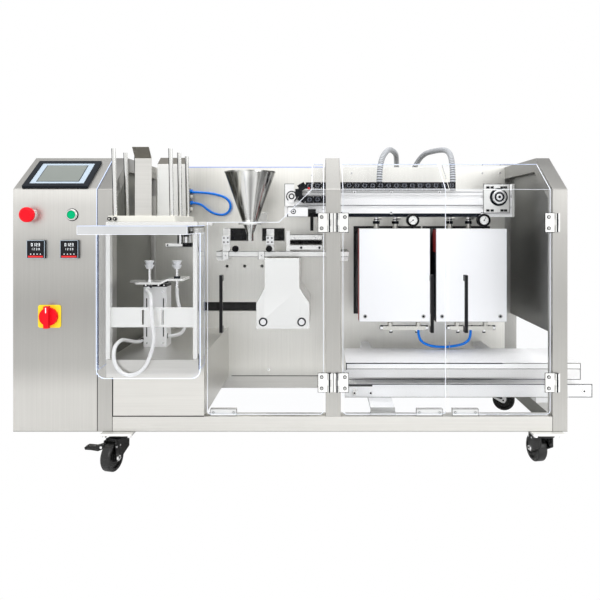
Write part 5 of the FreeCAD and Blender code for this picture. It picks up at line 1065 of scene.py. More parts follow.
@dataclass
class Hoses:
    """Conduits, suction hoses and air tubes, each made whole along its real route."""

    hoses: tuple[Hose, ...] = (
        Hose("left_conduit", "ribbed_conduit", "grey_hose", 17.6, (
            (775, 257, 778), (775, 257, 840), (806, 310, 888), (838, 420, 890), (856, 505, 880),
            (860, 560, 836))),
        Hose("right_conduit", "ribbed_conduit", "grey_hose", 17.6, (
            (999, 257, 778), (999, 257, 838), (996, 310, 884), (972, 400, 892), (934, 506, 886),
            (918, 559, 835))),
        Hose("suction_hose", "white_hose", "white_hose", 10.0, (
            (111, 96, 470), (111, 62, 470), (136, 20, 466), (156, -50, 452), (160.5, -60, 395),
            (167, -60, 360), (160, -60, 318), (138, -60, 272), (96, -60, 258), (64, -61, 286),
            (60, -55, 332), (66, -10, 346), (66, 45, 334), (84, 100, 318), (84, 131, 318))),
        Hose("cup_hose", "white_hose", "white_hose", 10.0, (
            (189, 110, 470), (189, 110, 430), (207, 118, 388), (209, 130, 353), (188, 136, 331),
            (158, 136, 331))),
        Hose("wall_tube", "blue_tube", "blue_hose", 8.0, (
            (160, 452, 757), (205, 452, 757), (258, 455, 748), (286, 456, 734), (296, 456, 711),
            (287, 456, 688), (263, 456, 679.5), (226, 455, 690), (192, 452, 722), (160, 452, 722))),
        Hose("chamber_tube", "blue_tube", "blue_hose", 8.0, (
            (900, 300, 322), (900, 300, 294), (926, 303, 273), (975, 306, 266), (1020, 305, 271),
            (1046, 302, 279), (1063, 300, 296), (1063, 300, 322))),
    )

    def build(self, bench: Bench) -> None:
        """Make every hose."""
        for hose in self.hoses:
            self._hose(bench, hose)

    def _hose(self, bench: Bench, hose: Hose) -> None:
        curve = bpy.data.curves.new(hose.name + "_dressed", "CURVE")
        curve.dimensions = "3D"
        curve.resolution_u = 12
        curve.use_fill_caps = True
        spline = curve.splines.new("NURBS")
        spline.points.add(len(hose.route) - 1)
        places = [bench.datum.at(*place) for place in hose.route]
        for point, place in zip(spline.points, places):
            point.co = (*place, 1.0)
        spline.order_u = 3
        spline.use_endpoint_u = True
        item = bpy.data.objects.new(hose.name + "_dressed", curve)
        bpy.context.scene.collection.objects.link(item)
        length = self._length(item)
        curve.bevel_depth = hose.diameter * MM / 2
        curve.bevel_resolution = 6
        curve.materials.append(bench.finishes[hose.finish])
        bench.settle(item, "machine", hose.slot, (hose.name,))

    @staticmethod
    def _length(item: bpy.types.Object) -> float:
        """Length of a curve that has no bevel yet, read from its own line."""
        bpy.context.view_layer.update()
        mesh = bpy.data.meshes.new_from_object(item.evaluated_get(bpy.context.evaluated_depsgraph_get()))
        places = [vert.co for vert in mesh.vertices]
        length = sum((after - before).length for before, after in zip(places, places[1:]))
        bpy.data.meshes.remove(mesh)
        return length


@dataclass
class Cabinet:
    """Sloped control cabinet with its screen, buttons, controllers and main switch."""

    left: float = -225.0
    kink_height: float = 745.0
    slope: float = math.atan2(97.0, 146.0)
    button_height: float = 677.0
    stop_x: float = -178.0
    start_x: float = -67.0
    meter_xs: tuple[float, float] = (-161.0, -72.0)
    meter_height: float = 585.0
    meter_half: float = 24.0
    digits: int = 4
    switch_x: float = -127.0
    switch_height: float = 406.0

    def build(self, bench: Bench) -> None:
        """Dress the cabinet."""
        bench.paint("steel_cabinet", "control_cabinet")
        bench.paint("red_button", "stop_button", "switch_knob")
        bench.paint("green_button", "start_button")
        bench.recast("panel_fittings", "black_plastic", (
            ("yellow_plate", lambda place: place.z < 500),
            ("steel_chrome", lambda place: place.z > 640),
            ("bezel", anywhere)))
        self._screen(bench)
        self._meters(bench)
        self._rings(bench)

    def _on_slope(self, across: float, up: float, out: float) -> Point:
        """A datum place across, up and out of the slope, from the screen's low left corner."""
        along = (up + 6.0) * math.cos(self.slope) - out * math.sin(self.slope)
        height = (up + 6.0) * math.sin(self.slope) + out * math.cos(self.slope)
        return (self.left + 22.0 + across, along, self.kink_height + height)

    def _screen(self, bench: Bench) -> None:
        """Rounded dark bezel, its pale inner frame and the grey display."""
        bench.paint("bezel", "touch_screen")
        form = Form(bench, "display_frame")
        out = Vector(self._on_slope(0, 0, 1)) - Vector(self._on_slope(0, 0, 0))
        for finish, inset, low, thick in (("bezel_inner", 15.0, 5.05, 0.8), ("bezel", 30.0, 5.85, 0.35),
                                          ("display_grey", 32.0, 6.2, 0.3)):
            foot = inset * 0.72 + 3.5
            corners = [(inset, foot), (176 - inset, foot), (176 - inset, 140 - foot), (inset, 140 - foot)]
            form.prism(finish, [self._on_slope(across, up, low) for across, up in corners], out * thick)
        form.done(slot="screen")

    def _meters(self, bench: Bench) -> None:
        """Dark glass, digits and the red strip on both controllers."""
        form = Form(bench, "controller_faces")
        for x in self.meter_xs:
            z = self.meter_height
            form.block("meter_face", (x - 20, -10.2, z - 20), (x + 20, -9.0, z + 21))
            form.block("meter_red", (x - 20, -10.3, z - 21.5), (x + 20, -9.0, z - 17))
            half = self.meter_half - 0.6
            form.outline("bezel_inner", (x - half, z - half), (x + half, z + half), -9.2, 1.1)
            for row, (rise, tall) in enumerate(((8.5, 8.0), (-2.0, 5.5))):
                for place in range(self.digits):
                    self._digit(form, x - 9.5 + place * 6.4, z + rise, tall * 0.5, tall, (place + row) % 4)
            for place in range(self.digits):
                left = x - 14 + place * 8.6
                form.block("meter_digits", (left, -10.45, z - 13.5), (left + 2.6, -10.2, z - 11.5))
        form.done(slot="black_plastic")

    @staticmethod
    def _digit(form: Form, x: float, z: float, wide: float, tall: float, number: int) -> None:
        """Draw one seven-segment digit from thin blocks."""
        lit = {0: "abcdef", 1: "bc", 2: "abged", 3: "abgcd"}[number]
        bar = tall * 0.12
        half, mid = wide / 2, z + tall / 2
        places = {
            "a": ((x - half, z + tall - bar), (x + half, z + tall)), "d": ((x - half, z), (x + half, z + bar)),
            "g": ((x - half, mid - bar / 2), (x + half, mid + bar / 2)),
            "b": ((x + half - bar, mid), (x + half, z + tall)), "c": ((x + half - bar, z), (x + half, mid)),
            "f": ((x - half, mid), (x - half + bar, z + tall)), "e": ((x - half, z), (x - half + bar, mid)),
        }
        for letter in lit:
            (x0, z0), (x1, z1) = places[letter]
            form.block("meter_digits", (x0, -10.45, z0), (x1, -10.2, z1))

    def _rings(self, bench: Bench) -> None:
        """Ring of the start button, both caps' turned faces and the switch's mark."""
        ring = Form(bench, "start_ring")
        ring.lathe("steel_chrome", (self.start_x, -4.0, self.button_height), Facing.FRONT,
                   ((11.6, 0.0), (15.0, 0.0), (15.0, 1.5), (13.2, 5.0), (11.6, 5.0)), hollow=True)
        ring.lathe("bezel", (self.start_x, -0.1, self.button_height), Facing.FRONT,
                   ((15.0, 0.0), (16.8, 0.0), (16.8, 0.7), (15.0, 0.7)), hollow=True)
        ring.done(slot="black_plastic")
        cap = Form(bench, "start_cap")
        cap.lathe("green_button", (self.start_x, -8.0, self.button_height), Facing.FRONT,
                  ((10.6, 0.0), (9.6, 1.2), (8.2, 1.4), (7.6, 0.9), (0.2, 0.9)))
        cap.done("start_button", "green_plastic")
        head = Form(bench, "stop_cap")
        head.lathe("red_button", (self.stop_x, -30.0, self.button_height), Facing.FRONT,
                   ((16.6, 0.0), (15.0, 1.4), (12.5, 2.0), (11.8, 1.4), (0.2, 1.4)))
        head.done("stop_button", "red_plastic")
        shaft = Form(bench, "switch_mark")
        z = self.switch_height
        shaft.block("white_paint", (self.switch_x - 1.2, -27.9, z + 12), (self.switch_x + 1.2, -27.3, z + 26))
        shaft.done("switch_knob", "red_plastic")


@dataclass
class Frame:
    """Square tube frame, panels and walls with their screws."""

    wall_screws: tuple[tuple[float, float], ...] = (
        (50.0, 822.0), (420.0, 822.0), (566.0, 815.0), (700.0, 822.0), (1140.0, 822.0), (1200.0, 822.0),
        (700.0, 152.0), (420.0, 160.0), (1190.0, 420.0))

    def build(self, bench: Bench) -> None:
        """Dress the frame."""
        bench.recast("base_rails", "frame_steel", (
            ("steel_shade", lambda place: abs(place.x - 1216.0) < 1.0 and place.z < 137.0),
            ("steel_level", anywhere)), bevel=0.8)
        bench.recast("end_arches", "frame_steel", (("steel_upright", anywhere),), bevel=1.2)
        bench.recast("middle_arch", "frame_steel", (("steel_upright", anywhere),), bevel=1.2)
        # Painted shade: the side panels' insides take darkened steel, darkest on the left panel.
        bench.recast("side_panels", "panel_steel", (
            ("steel_shade", lambda place: place.x < 600.0), ("steel_inner_shade", anywhere)), bevel=0)
        bench.paint("steel_wall", "rear_wall", "rear_covers")
        screw = Head(3.6, 2.0, 1.6)
        bench.scatter("wall_screws", screw, [((x, 473.0, z), Facing.FRONT) for x, z in self.wall_screws],
                      slot="polished_steel")
        cover = [((x, 617.8, z), Facing.BACK) for x in range(40, 1240, 230) for z in (165, 500, 815)]
        bench.scatter("cover_screws", screw, cover, slot="polished_steel")
        self._seams(bench)

    @staticmethod
    def _seams(bench: Bench) -> None:
        """Dark seams where posts, rail and cabinet meet, a painted shade line along the foot of the rail's front, and
        the hood's edges, bright with a painted glow.
        """
        form = Form(bench, "frame_seams")
        for x in (40.0, 1216.0):
            form.block("black_moulded", (x - 0.6, -0.2, 98.5), (x + 0.6, 1.0, 138))
        form.block("black_moulded", (-1.0, -0.15, 99), (0.8, 1.0, 744))
        form.strip("black_moulded", [(41.0, -0.2, 252), (41.0, -0.2, 139.2), (284.5, -0.2, 139.2)], 2.0)
        form.rule("black_moulded", 296, 1210, 472.6, 139.2, 1.8)
        # Painted shade: a dark line along the foot of the rail's front.
        form.rule("steel_shade", -224, -1, -0.1, 98.6, 1.0)
        form.rule("steel_shade", 1, 1255, -0.1, 98.6, 1.0)
        form.done(slot="frame_steel")
        hood = Form(bench, "hood_edges")
        hood.strip("sheet_edge_blue", [(-1.0, -1.0, 251), (-1.0, -1.0, 745.6), (-1.0, 145.4, 843.0)], 1.5)
        hood.rule("hood_edge", 140, 606, 472.0, 842.6, 2.6)
        hood.done(slot="clear_acrylic")


@dataclass
class Infeed:
    """Deck, clear shelf and guard, magazine, lift and suction cups."""

    shelf_top: float = 648.0
    guard: tuple[float, float, float, float] = (22.0, 288.0, 257.0, 629.0)
    guard_front: float = -73.8
    rod_xs: tuple[float, float] = (55.0, 204.0)
    rod_feet: tuple[float, float, float] = (-20.0, 87.0, 194.0)

    def build(self, bench: Bench) -> None:
        """Dress the infeed."""
        bench.paint("steel_level", "infeed_deck")
        # The shelf's front face takes a faint painted glow.
        bench.recast("infeed_guard", "clear_acrylic", (
            ("sheet_band_glow", lambda place: place.z > 629.5 and place.y < -233.5), ("clear_sheet", anywhere)), bevel=0,
            smooth=False)
        # Painted shade: the guides' slanted top lips take dark steel.
        bench.recast("magazine_frame", "panel_steel", (
            ("steel_lip_shade", lambda place: place.z > 826.5 and place.x > 100 and (place.y < -21.2 or place.y > 230.2)),
            ("steel_level", lambda place: place.y < -10.0 and place.z > 690.0),
            ("steel_bright", anywhere)))
        bench.recast("magazine_bars", "cream_plastic", (("cream_block", anywhere),), bevel=1.0)
        bench.paint("steel_rod", "magazine_rods")
        bench.recast("lift_cylinder", "aluminium", (
            ("black_moulded", lambda place: place.z > 472.5 or place.x < 89.5 or place.x > 156.5),
            ("aluminium", anywhere)), bevel=1.0)
        bench.recast("suction_arm", "panel_steel", (("steel_bright", anywhere),))
        bench.recast("suction_cups", "white_rubber", (
            ("white_rubber", lambda place: place.z > 524.5),
            ("bezel", lambda place: 498.4 < place.z < 506.5 or 474.0 < place.z < 481.9),
            ("steel_chrome", anywhere)), bevel=0)
        self._edges(bench)
        self._knobs(bench)

    def _edges(self, bench: Bench) -> None:
        """Cut edges of the shelf and the guard, bright with a painted glow."""
        left, right, low, high = self.guard
        front = self.guard_front
        form = Form(bench, "guard_edges")
        corner = 22.0
        turns = [step * math.pi / 8 for step in (1, 2, 3)]
        outline = [(left, front, high), (left, front, low + corner)]
        outline += [(left + corner - corner * math.cos(turn), front, low + corner - corner * math.sin(turn))
                    for turn in turns]
        outline += [(left + corner, front, low), (right - corner, front, low)]
        outline += [(right - corner + corner * math.sin(turn), front, low + corner - corner * math.cos(turn))
                    for turn in turns]
        outline += [(right, front, low + corner), (right, front, high)]
        form.strip("guard_edge", outline, 1.6)
        for x in (left + 2.5, right - 2.5):
            form.strip("sheet_edge_blue", [(x, front + 5, low + corner), (x, -1.2, low + corner), (x, -1.2, high)],
                       1.6)
        form.done(slot="clear_acrylic")
        shelf = Form(bench, "shelf_edges")
        for z in (self.shelf_top, self.shelf_top - 19.0):
            shelf.strip("sheet_edge_blue" if z == self.shelf_top else "sheet_edge", [
                (31.0, -1.5, z), (31.0, -233.0, z), (286.0, -233.0, z), (286.0, -1.5, z)], 1.8)
        for x in (31.0, 286.0):
            shelf.strip("sheet_edge", [(x, -233.0, self.shelf_top), (x, -233.0, self.shelf_top - 19)], 1.8)
        shelf.done(slot="clear_acrylic")

    def _knobs(self, bench: Bench) -> None:
        """Magazine knobs, painted shade down the rods' left sides, and the lift's screws and grooves, the grooves as
        black strips of painted shade.
        """
        knobs = [((x, -46.0, 666.0), Facing.FRONT) for x in (48.0, 62.0)]
        bench.scatter("magazine_knobs", Head(5.0, 7.0, 2.2, finish="black_moulded", inside="nickel"), knobs,
                      slot="black_plastic")
        self._bracket(bench)
        # Painted shade: dark strips down the left side of each rod.
        shade = Form(bench, "rod_shade_lines")
        for x in self.rod_xs:
            for y in self.rod_feet:
                shade.strip("bezel", [(x - 4.7, y, 675.0), (x - 4.7, y - 15.4, 849.0)], 2.8)
        shade.done(slot="polished_steel")
        bench.scatter("lift_screws", Head(3.0, 1.5, 1.4), [
            ((x, 126.0, z), Facing.FRONT) for x in (100.0, 146.0) for z in (312.0, 458.0)], slot="polished_steel")
        form = Form(bench, "lift_details")
        # Painted shade: black strips stand for the shade in the lift's grooves.
        for x in (99.0, 147.0):
            form.block("black_moulded", (x - 1.6, 125.6, 330), (x + 1.6, 126.4, 440))
        form.block("black_moulded", (89.6, 125.6, 472.5), (156.4, 184.4, 481.0))
        for x in (97.0, 113.0, 133.0, 149.0):
            form.drum("steel_chrome", (x, 125.6, 477), (x, 123.8, 477), 2.6, sides=12)
        form.done(slot="aluminium", bevel=0.3)

    @staticmethod
    def _bracket(bench: Bench) -> None:
        """Small stop bracket that hangs from the magazine's rear bar."""
        form = Form(bench, "magazine_stop")
        form.drum("steel_chrome", (177.5, 207, 648), (177.5, 207, 586), 5.5)
        for x in (170.6, 184.4):
            form.strip("bezel", [(x, 207, 647), (x, 207, 590)], 2.2)
        form.block("steel_bright", (136, 200, 584), (172, 214, 594))
        form.rule("bezel", 136, 214, 200, 584.2, 1.4)
        form.drum("bezel", (142, 200, 589), (142, 199.2, 589), 2.6, sides=12)
        form.block("black_moulded", (186, 200, 585), (214, 214, 596))
        form.block("steel_bright", (172, 201, 585), (186, 213, 593))
        form.drum("black_moulded", (195, 207, 648), (195, 207, 614), 8.0)
        form.drum("steel_chrome", (195, 207, 614), (195, 207, 596), 5.6)
        form.drum("steel_mid", (207, 205, 648), (207, 205, 596), 4.6)
        form.drum("bezel", (207, 205, 630), (207, 205, 618), 6.0, sides=12)
        form.done(slot="polished_steel")


@dataclass
class Filling:
    """Funnel, its bracket, the gripper bar and the pouch support."""

    def build(self, bench: Bench) -> None:
        """Dress the filling station."""
        bench.paint("steel_funnel", "funnel")
        bench.recast("funnel_bracket", "panel_steel", (("steel_bright", anywhere),))
        bench.recast("gripper_bar", "panel_steel", (
            ("black_moulded", lambda place: 314 < place.x < 346 and place.z > 563 and place.y < 306),
            ("black_moulded", lambda place: 422 < place.x < 448 and place.z > 563 and place.y < 306),
            ("black_moulded", lambda place: place.x > 500 and 587 < place.z < 601),
            ("steel_shade", lambda place: min(abs(place.z - level) for level in (566.0, 586.0, 618.0)) < 0.4),
            ("steel_bright", anywhere)))
        bench.recast("gripper_blocks", "white_plastic", (
            ("steel_shade", lambda place: abs(place.z - 615.0) < 0.4),
            ("white_paint", lambda place: place.y < 309), ("steel_bright", anywhere)))
        bench.recast("pouch_support", "white_metal", (
            ("steel_chrome", lambda place: place.y < 215.9), ("steel_bright", anywhere)), bevel=0.8)
        self._heads(bench)
        self._slots(bench)

    @staticmethod
    def _heads(bench: Bench) -> None:
        """Screws of the gripper blocks and the bar's clamps, and both thumb screws."""
        spots = [((x + dx, 295.0, z), Facing.FRONT) for x in (289.0, 426.0) for dx in (6.0, 18.0)
                 for z in (595.0, 608.0)]
        bench.scatter("gripper_screws", Head(2.8, 1.0, 1.4, finish="bezel", inside="steel_bright"), spots,
                      slot="polished_steel")
        spots = [((x, 301.5, 554.0), Facing.FRONT) for x in (299.0, 411.0)]
        spots += [((x, 306.0, 608.0), Facing.FRONT) for x in (515.0, 580.0)]
        bench.scatter("clamp_screws", Head(3.4, 2.2, 1.6), spots, slot="polished_steel")
        for name, x in (("left_thumb_screw", 424.0), ("right_thumb_screw", 539.0)):
            screw = Form(bench, name)
            screw.lathe("bezel", (x, 216.0, 359.0), Facing.FRONT, ((13.0, 0.0), (13.0, 1.4), (9.2, 1.4), (9.2, 0.4)),
                        hollow=True)
            screw.lathe("nickel", (x, 216.0, 359.0), Facing.FRONT, (
                (9.2, 0.0), (9.0, 4.4), (7.4, 5.2), (6.4, 5.2), (6.0, 4.2), (2.2, 4.2)))
            screw.drum("bezel", (x, 211.9, 359.0), (x, 211.4, 359.0), 3.2)
            screw.done(slot="white_metal")

    @staticmethod
    def _slots(bench: Bench) -> None:
        """Dark drives seen through the wall's slots, and outlines of the gripper bar."""
        form = Form(bench, "drive_plates")
        for low, high, z0, z1 in ((271, 345, 595, 636), (399, 471, 595, 636), (200, 377, 359, 387)):
            form.block("black_paint", (low, 477, z0), (high, 480, z1))
        for x in (283, 300, 330, 411, 428, 458):
            form.drum("black_chain", (x, 470, 606), (x, 477, 606), 5, sides=12)
            form.drum("black_chain", (x, 470, 624), (x, 477, 624), 3.5, sides=12)
        form.done(slot="black_metal", bevel=0.3)
        lines = Form(bench, "gripper_lines")
        for low, high, z in ((269.6, 684.0, 549.4), (269.6, 684.0, 565.6), (500.4, 600.0, 570.4),
                             (500.4, 600.0, 585.6), (500.4, 600.0, 602.4), (500.4, 600.0, 617.6)):
            lines.rule("bezel", low, high, 306.0, z, 1.1)
        for x in (535.0, 592.0):
            lines.drum("bezel", (x, 306.0, 577.5), (x, 302.6, 577.5), 3.6, sides=12)
        for x in (289.0, 401.0):
            lines.strip("bezel", [(x, 301.5, 541.4), (x, 301.5, 566.4), (x + 20, 301.5, 566.4),
                                  (x + 20, 301.5, 541.4)], 1.0)
        lines.done(slot="panel_steel")


@dataclass
class Transfer:
    """Transfer beam with its drive end, belt and drag chain."""

    chain_first: float = 550.0
    chain_pitch: float = 24.0
    chain_front: float = 246.2
    chain_runs: tuple[tuple[float, int], ...] = ((768.0, 19), (726.0, 4))

    def build(self, bench: Bench) -> None:
        """Dress the transfer."""
        bench.recast("transfer_beam", "aluminium", (("aluminium", anywhere),), bevel=0.8)
        bench.recast("beam_brackets", "aluminium", (
            ("black_moulded", lambda place: place.x > 557.5 and place.x < 582 and place.y < 269),
            ("steel_bright", lambda place: place.x > 1093.0 and place.y < 270.5),
            ("aluminium", anywhere)), bevel=0.8)
        bench.recast("drag_chain", "black_plastic", (("black_chain", anywhere),), bevel=0.5)
        self._links(bench)
        self._drive(bench)

    def _links(self, bench: Bench) -> None:
        """Round side marks of the chain links."""
        spots = [((self.chain_first + (step + 0.5) * self.chain_pitch, self.chain_front, height), Facing.FRONT)
                 for height, links in self.chain_runs for step in range(links)]
        bench.scatter("chain_marks", Head(6.4, 1.4, 4.4, sides=20, recess_sides=18, finish="chain_ring",
                                          inside="black_chain"), spots, slot="black_plastic")

    def _drive(self, bench: Bench) -> None:
        """Drive plate with its pulley, bearing disc, the beam's bolts, and painted shade: a dark band along the foot
        of the beam's face and dark lines where its grooves show.
        """
        plate_left, low = 1094.0, 685.0
        form = Form(bench, "drive_slots")
        for z in (low + 8, low + 78):
            for x in (14.0, 27.0, 57.0, 68.0):
                form.block("black_moulded", (plate_left + x - 5.0, 263.3, z - 3.6),
                           (plate_left + x + 5.0, 264.2, z + 3.6))
        pulley = plate_left + 47
        form.lathe("steel_chrome", (pulley, 254.0, 734.0), Facing.FRONT,
                   ((20.5, 0.0), (19.5, 1.2), (16.5, 1.2), (16.0, 0.3), (9.0, 0.3), (8.5, 1.6), (3.0, 1.6)))
        form.lathe("bezel", (pulley, 263.9, 734.0), Facing.FRONT, ((27.5, 0.0), (27.5, 0.6), (3.0, 0.6)))
        form.lathe("bezel", (pulley, 253.7, 734.0), Facing.FRONT,
                   ((15.2, 0.0), (15.2, 0.3), (10.0, 0.3), (10.0, 0.0)), hollow=True)
        form.drum("black_moulded", (pulley, 254, 734), (pulley, 251.9, 734), 4.2)
        form.done(slot="aluminium", bevel=0.3)
        edge = Form(bench, "drive_plate_edge")
        edge.outline("bezel", (plate_left + 0.6, low + 0.6), (plate_left + 80.4, low + 88.4), 264.0, 1.3)
        edge.strip("bezel", [(514.4, 264.0, 774.4), (485.8, 264.0, 774.4), (485.8, 264.0, 707.6)], 1.3)
        edge.done(slot="aluminium")
        bolts = [((x, 270.0, z), Facing.FRONT) for x, z in (
            (812, 749), (812, 686), (1090, 686), (700, 749), (560, 749), (660, 686), (960, 749))]
        bench.scatter("beam_bolts", Head(4.6, 3.0, 2.2), bolts, slot="polished_steel")
        disc = Form(bench, "bearing_disc")
        for finish, y, turned in (
                ("bezel", 264.0, ((17.0, 0.0), (17.0, 0.8), (3.0, 0.8))),
                ("steel_chrome", 263.2, ((14.0, 0.0), (13.6, 4.2), (11.0, 4.6), (9.6, 4.6), (9.2, 3.6), (2.0, 3.6))),
                ("bezel", 259.6, ((8.8, 0.0), (8.8, 0.6), (2.0, 0.6))),
                ("steel_chrome", 259.0, ((5.8, 0.0), (5.4, 1.8), (1.0, 1.8)))):
            disc.lathe(finish, (507.0, y, 736.0), Facing.FRONT, turned)
        disc.drum("meter_red", (560.0, 243.9, 760.0), (560.0, 242.6, 760.0), 3.6)
        disc.lathe("bezel", (513.0, 244.0, 690.0), Facing.FRONT, ((8.0, 0.0), (8.0, 0.8), (2.0, 0.8)))
        disc.lathe("steel_chrome", (513.0, 243.2, 690.0), Facing.FRONT, ((6.0, 0.0), (5.6, 2.0), (2.4, 2.0)))
        disc.drum("bezel", (513.0, 241.2, 690.0), (513.0, 240.8, 690.0), 2.6, sides=12)
        disc.rule("bezel", 497.4, 556.6, 243.9, 703.4, 1.4)
        disc.rule("bezel", 497.4, 556.6, 243.9, 673.8, 1.0)
        disc.done(slot="aluminium")
        # Painted shade: a dark band along the foot of the beam's face and two dark lines for the shade in its grooves.
        beam_shade = Form(bench, "beam_shade_lines")
        beam_shade.block("bezel", (493, 269.0, 673.2), (1094, 270.4, 684.0))
        for z, width in ((749.6, 1.4), (709.0, 1.8)):
            beam_shade.rule("bezel", 494, 1093, 269.9, z, width)
        beam_shade.done(slot="aluminium")


@dataclass
class Gauge:
    """Vacuum gauge in front of its case."""

    x: float
    front: float
    height: float
    radius: float
    needle: float
    ticks: int = 11

    def build(self, bench: Bench, body: str, name: str) -> None:
        """Bezel ring, white dial, ticks and needle."""
        centre = (self.x, self.front, self.height)
        form = Form(bench, name)
        form.lathe("black_moulded", centre, Facing.FRONT, (
            (self.radius + 0.4, -14.0), (self.radius + 0.4, 1.8), (self.radius - 1.5, 2.6),
            (self.radius - 5.4, 2.6), (self.radius - 5.8, 0.8), (0.3, 0.8)))
        form.lathe("dial_white", centre, Facing.FRONT, (
            (self.radius - 6.0, 0.7), (self.radius - 6.0, 1.1), (0.3, 1.1)))
        for step in range(self.ticks):
            turn = math.radians(225 - 270 * step / (self.ticks - 1))
            inner, outer = self.radius - 9.4, self.radius - 7.0
            form.strip("black_moulded", [
                (self.x + inner * math.cos(turn), self.front - 1.3, self.height + inner * math.sin(turn)),
                (self.x + outer * math.cos(turn), self.front - 1.3, self.height + outer * math.sin(turn))], 0.5)
        turn = math.radians(self.needle)
        tip = self.radius - 8.0
        form.strip("black_moulded", [
            (self.x - 3 * math.cos(turn), self.front - 1.7, self.height - 3 * math.sin(turn)),
            (self.x + tip * math.cos(turn), self.front - 1.7, self.height + tip * math.sin(turn))], 0.9)
        form.drum("black_moulded", (self.x, self.front - 1.1, self.height), (self.x, self.front - 2.4, self.height),
                  1.9)
        form.done(body, "white_metal")


@dataclass
class Chambers:
    """Two vacuum chambers with sliding covers, seals, gauges and manifolds."""

    lefts: tuple[float, float] = (712.0, 944.0)
    width: float = 214.0
    low: float = 356.0
    front: float = 234.0
    gauge_xs: tuple[float, float] = (875.0, 1090.0)
    gauge_front: float = 237.0
    gauge_height: float = 663.0

    def build(self, bench: Bench) -> None:
        """Dress the chambers."""
        bench.recast("chamber_bodies", "panel_steel", (
            ("black_paint", lambda place: place.y > 462), ("bezel", anywhere)))
        bench.paint("red_seal", "chamber_seals")
        bench.recast("vacuum_fittings", "brass", (
            ("black_paint", lambda place: place.x < 200), ("nickel", anywhere)))
        for index, side in enumerate(("left", "right")):
            node = f"{side}_chamber_cover"
            body = f"{side}_cover"
            left = self.lefts[index]
            # Each cover's left side faces are painted dark: red for the seal on the left cover, black on the right
            # cover as painted shade in the gap between the covers.
            bench.recast(node, "white_metal", (
                ("black_moulded", lambda place: place.z > 638.5),
                ("bezel" if index else "red_seal",
                 lambda place, left=left: abs(place.x - left) < 0.6 and place.y > 236.0),
                ("cover_sheet", anywhere)), bevel=1.0, body=body)
            rim = Form(bench, f"{side}_cover_rim")
            rim.block("red_seal", (left - 0.4, 240.0, self.low + 210), (left + 0.4, 288.0, self.low + 278))
            rim.done(body, "white_metal")
            # Painted shade: a thin dark line round each cover's front edge.
            edge_shade = Form(bench, f"{side}_cover_edge_shade")
            right, high = left + self.width - 0.6, 637.6
            edge_shade.outline("steel_mid", (left + 0.6, self.low + 0.6), (right, high), self.front, 1.0)
            edge_shade.done(body, "white_metal")
            screws = [((left + dx, self.front, self.low + 17), Facing.FRONT) for dx in (18.0, self.width - 20)]
            bench.scatter(f"{side}_cover_screws", Head(6.2, 1.8, 4.0, finish="steel_mid", inside="bezel"), screws,
                          body, "white_metal")
            Gauge(self.gauge_xs[index], self.gauge_front, self.gauge_height, 19.0, (215.0, 60.0)[index]).build(
                bench, body, f"{side}_gauge")
        self._fittings(bench)

    def _fittings(self, bench: Bench) -> None:
        """Nuts, stems and collars of the manifolds and ports, and the valve block."""
        nuts = [((x, 304.0, 346.0), Facing.UP) for x in (812.0, 900.0, 1021.0, 1109.0)]
        bench.scatter("manifold_nuts", Head(11.0, 9.0, 8.5, sides=6, recess_sides=12, finish="bezel",
                                            inside="nickel"), nuts, slot="brass")
        ends = [((x, 304.0, 328.0), way) for x, way in (
            (790.0, Facing.LEFT), (922.0, Facing.RIGHT), (999.0, Facing.LEFT), (1131.0, Facing.RIGHT))]
        bench.scatter("manifold_ends", Head(8.0, 9.0, 4.0, sides=6, recess_sides=12, inside="bezel"), ends,
                      slot="brass")
        heads = [((x, 336.3, 651.9), Facing.UP) for x in (772.0, 832.0, 1004.0, 1064.0)]
        bench.scatter("port_nuts", Head(11.0, 9.0, 6.0, sides=6, recess_sides=12, finish="bezel",
                                        inside="nickel"), heads, slot="brass")
        stems = Form(bench, "port_stems")
        for x in (772.0, 832.0, 1004.0, 1064.0):
            stems.drum("steel_chrome", (x, 336.3, 660.9), (x, 336.3, 674.0), 7.0)
            stems.drum("bezel", (x, 336.3, 663.6), (x, 336.3, 666.2), 7.8)
            stems.drum("nickel", (x + 6, 336.3, 669.0), (x + 17, 336.3, 669.0), 3.6, sides=16)
        stems.done(slot="brass")
        collars = Form(bench, "manifold_collars")
        for x in (801.0, 828.0, 858.0, 884.0, 911.0, 1010.0, 1037.0, 1067.0, 1093.0, 1120.0):
            collars.drum("bezel", (x - 2.2, 304.0, 328.0), (x + 2.2, 304.0, 328.0), 7.6, sides=16)
        for x in (815.0, 896.0, 1024.0, 1105.0):
            collars.drum("steel_chrome", (x, 304.0, 322.6), (x, 304.0, 316.0), 4.2, sides=6)
            collars.drum("bezel", (x, 304.0, 316.0), (x, 304.0, 312.6), 5.4, sides=12)
        collars.done(slot="brass")
        form = Form(bench, "valve_details")
        for step, z in enumerate((702, 722, 742, 760)):
            form.drum("blue_tube" if step % 2 else "nickel", (160, 452, z), (168, 452, z), 6.5, sides=16)
        for z in (698, 716, 734, 752):
            form.block("bezel", (116, 431.5, z), (154, 433.2, z + 12))
        form.done(slot="brass", bevel=0.4)


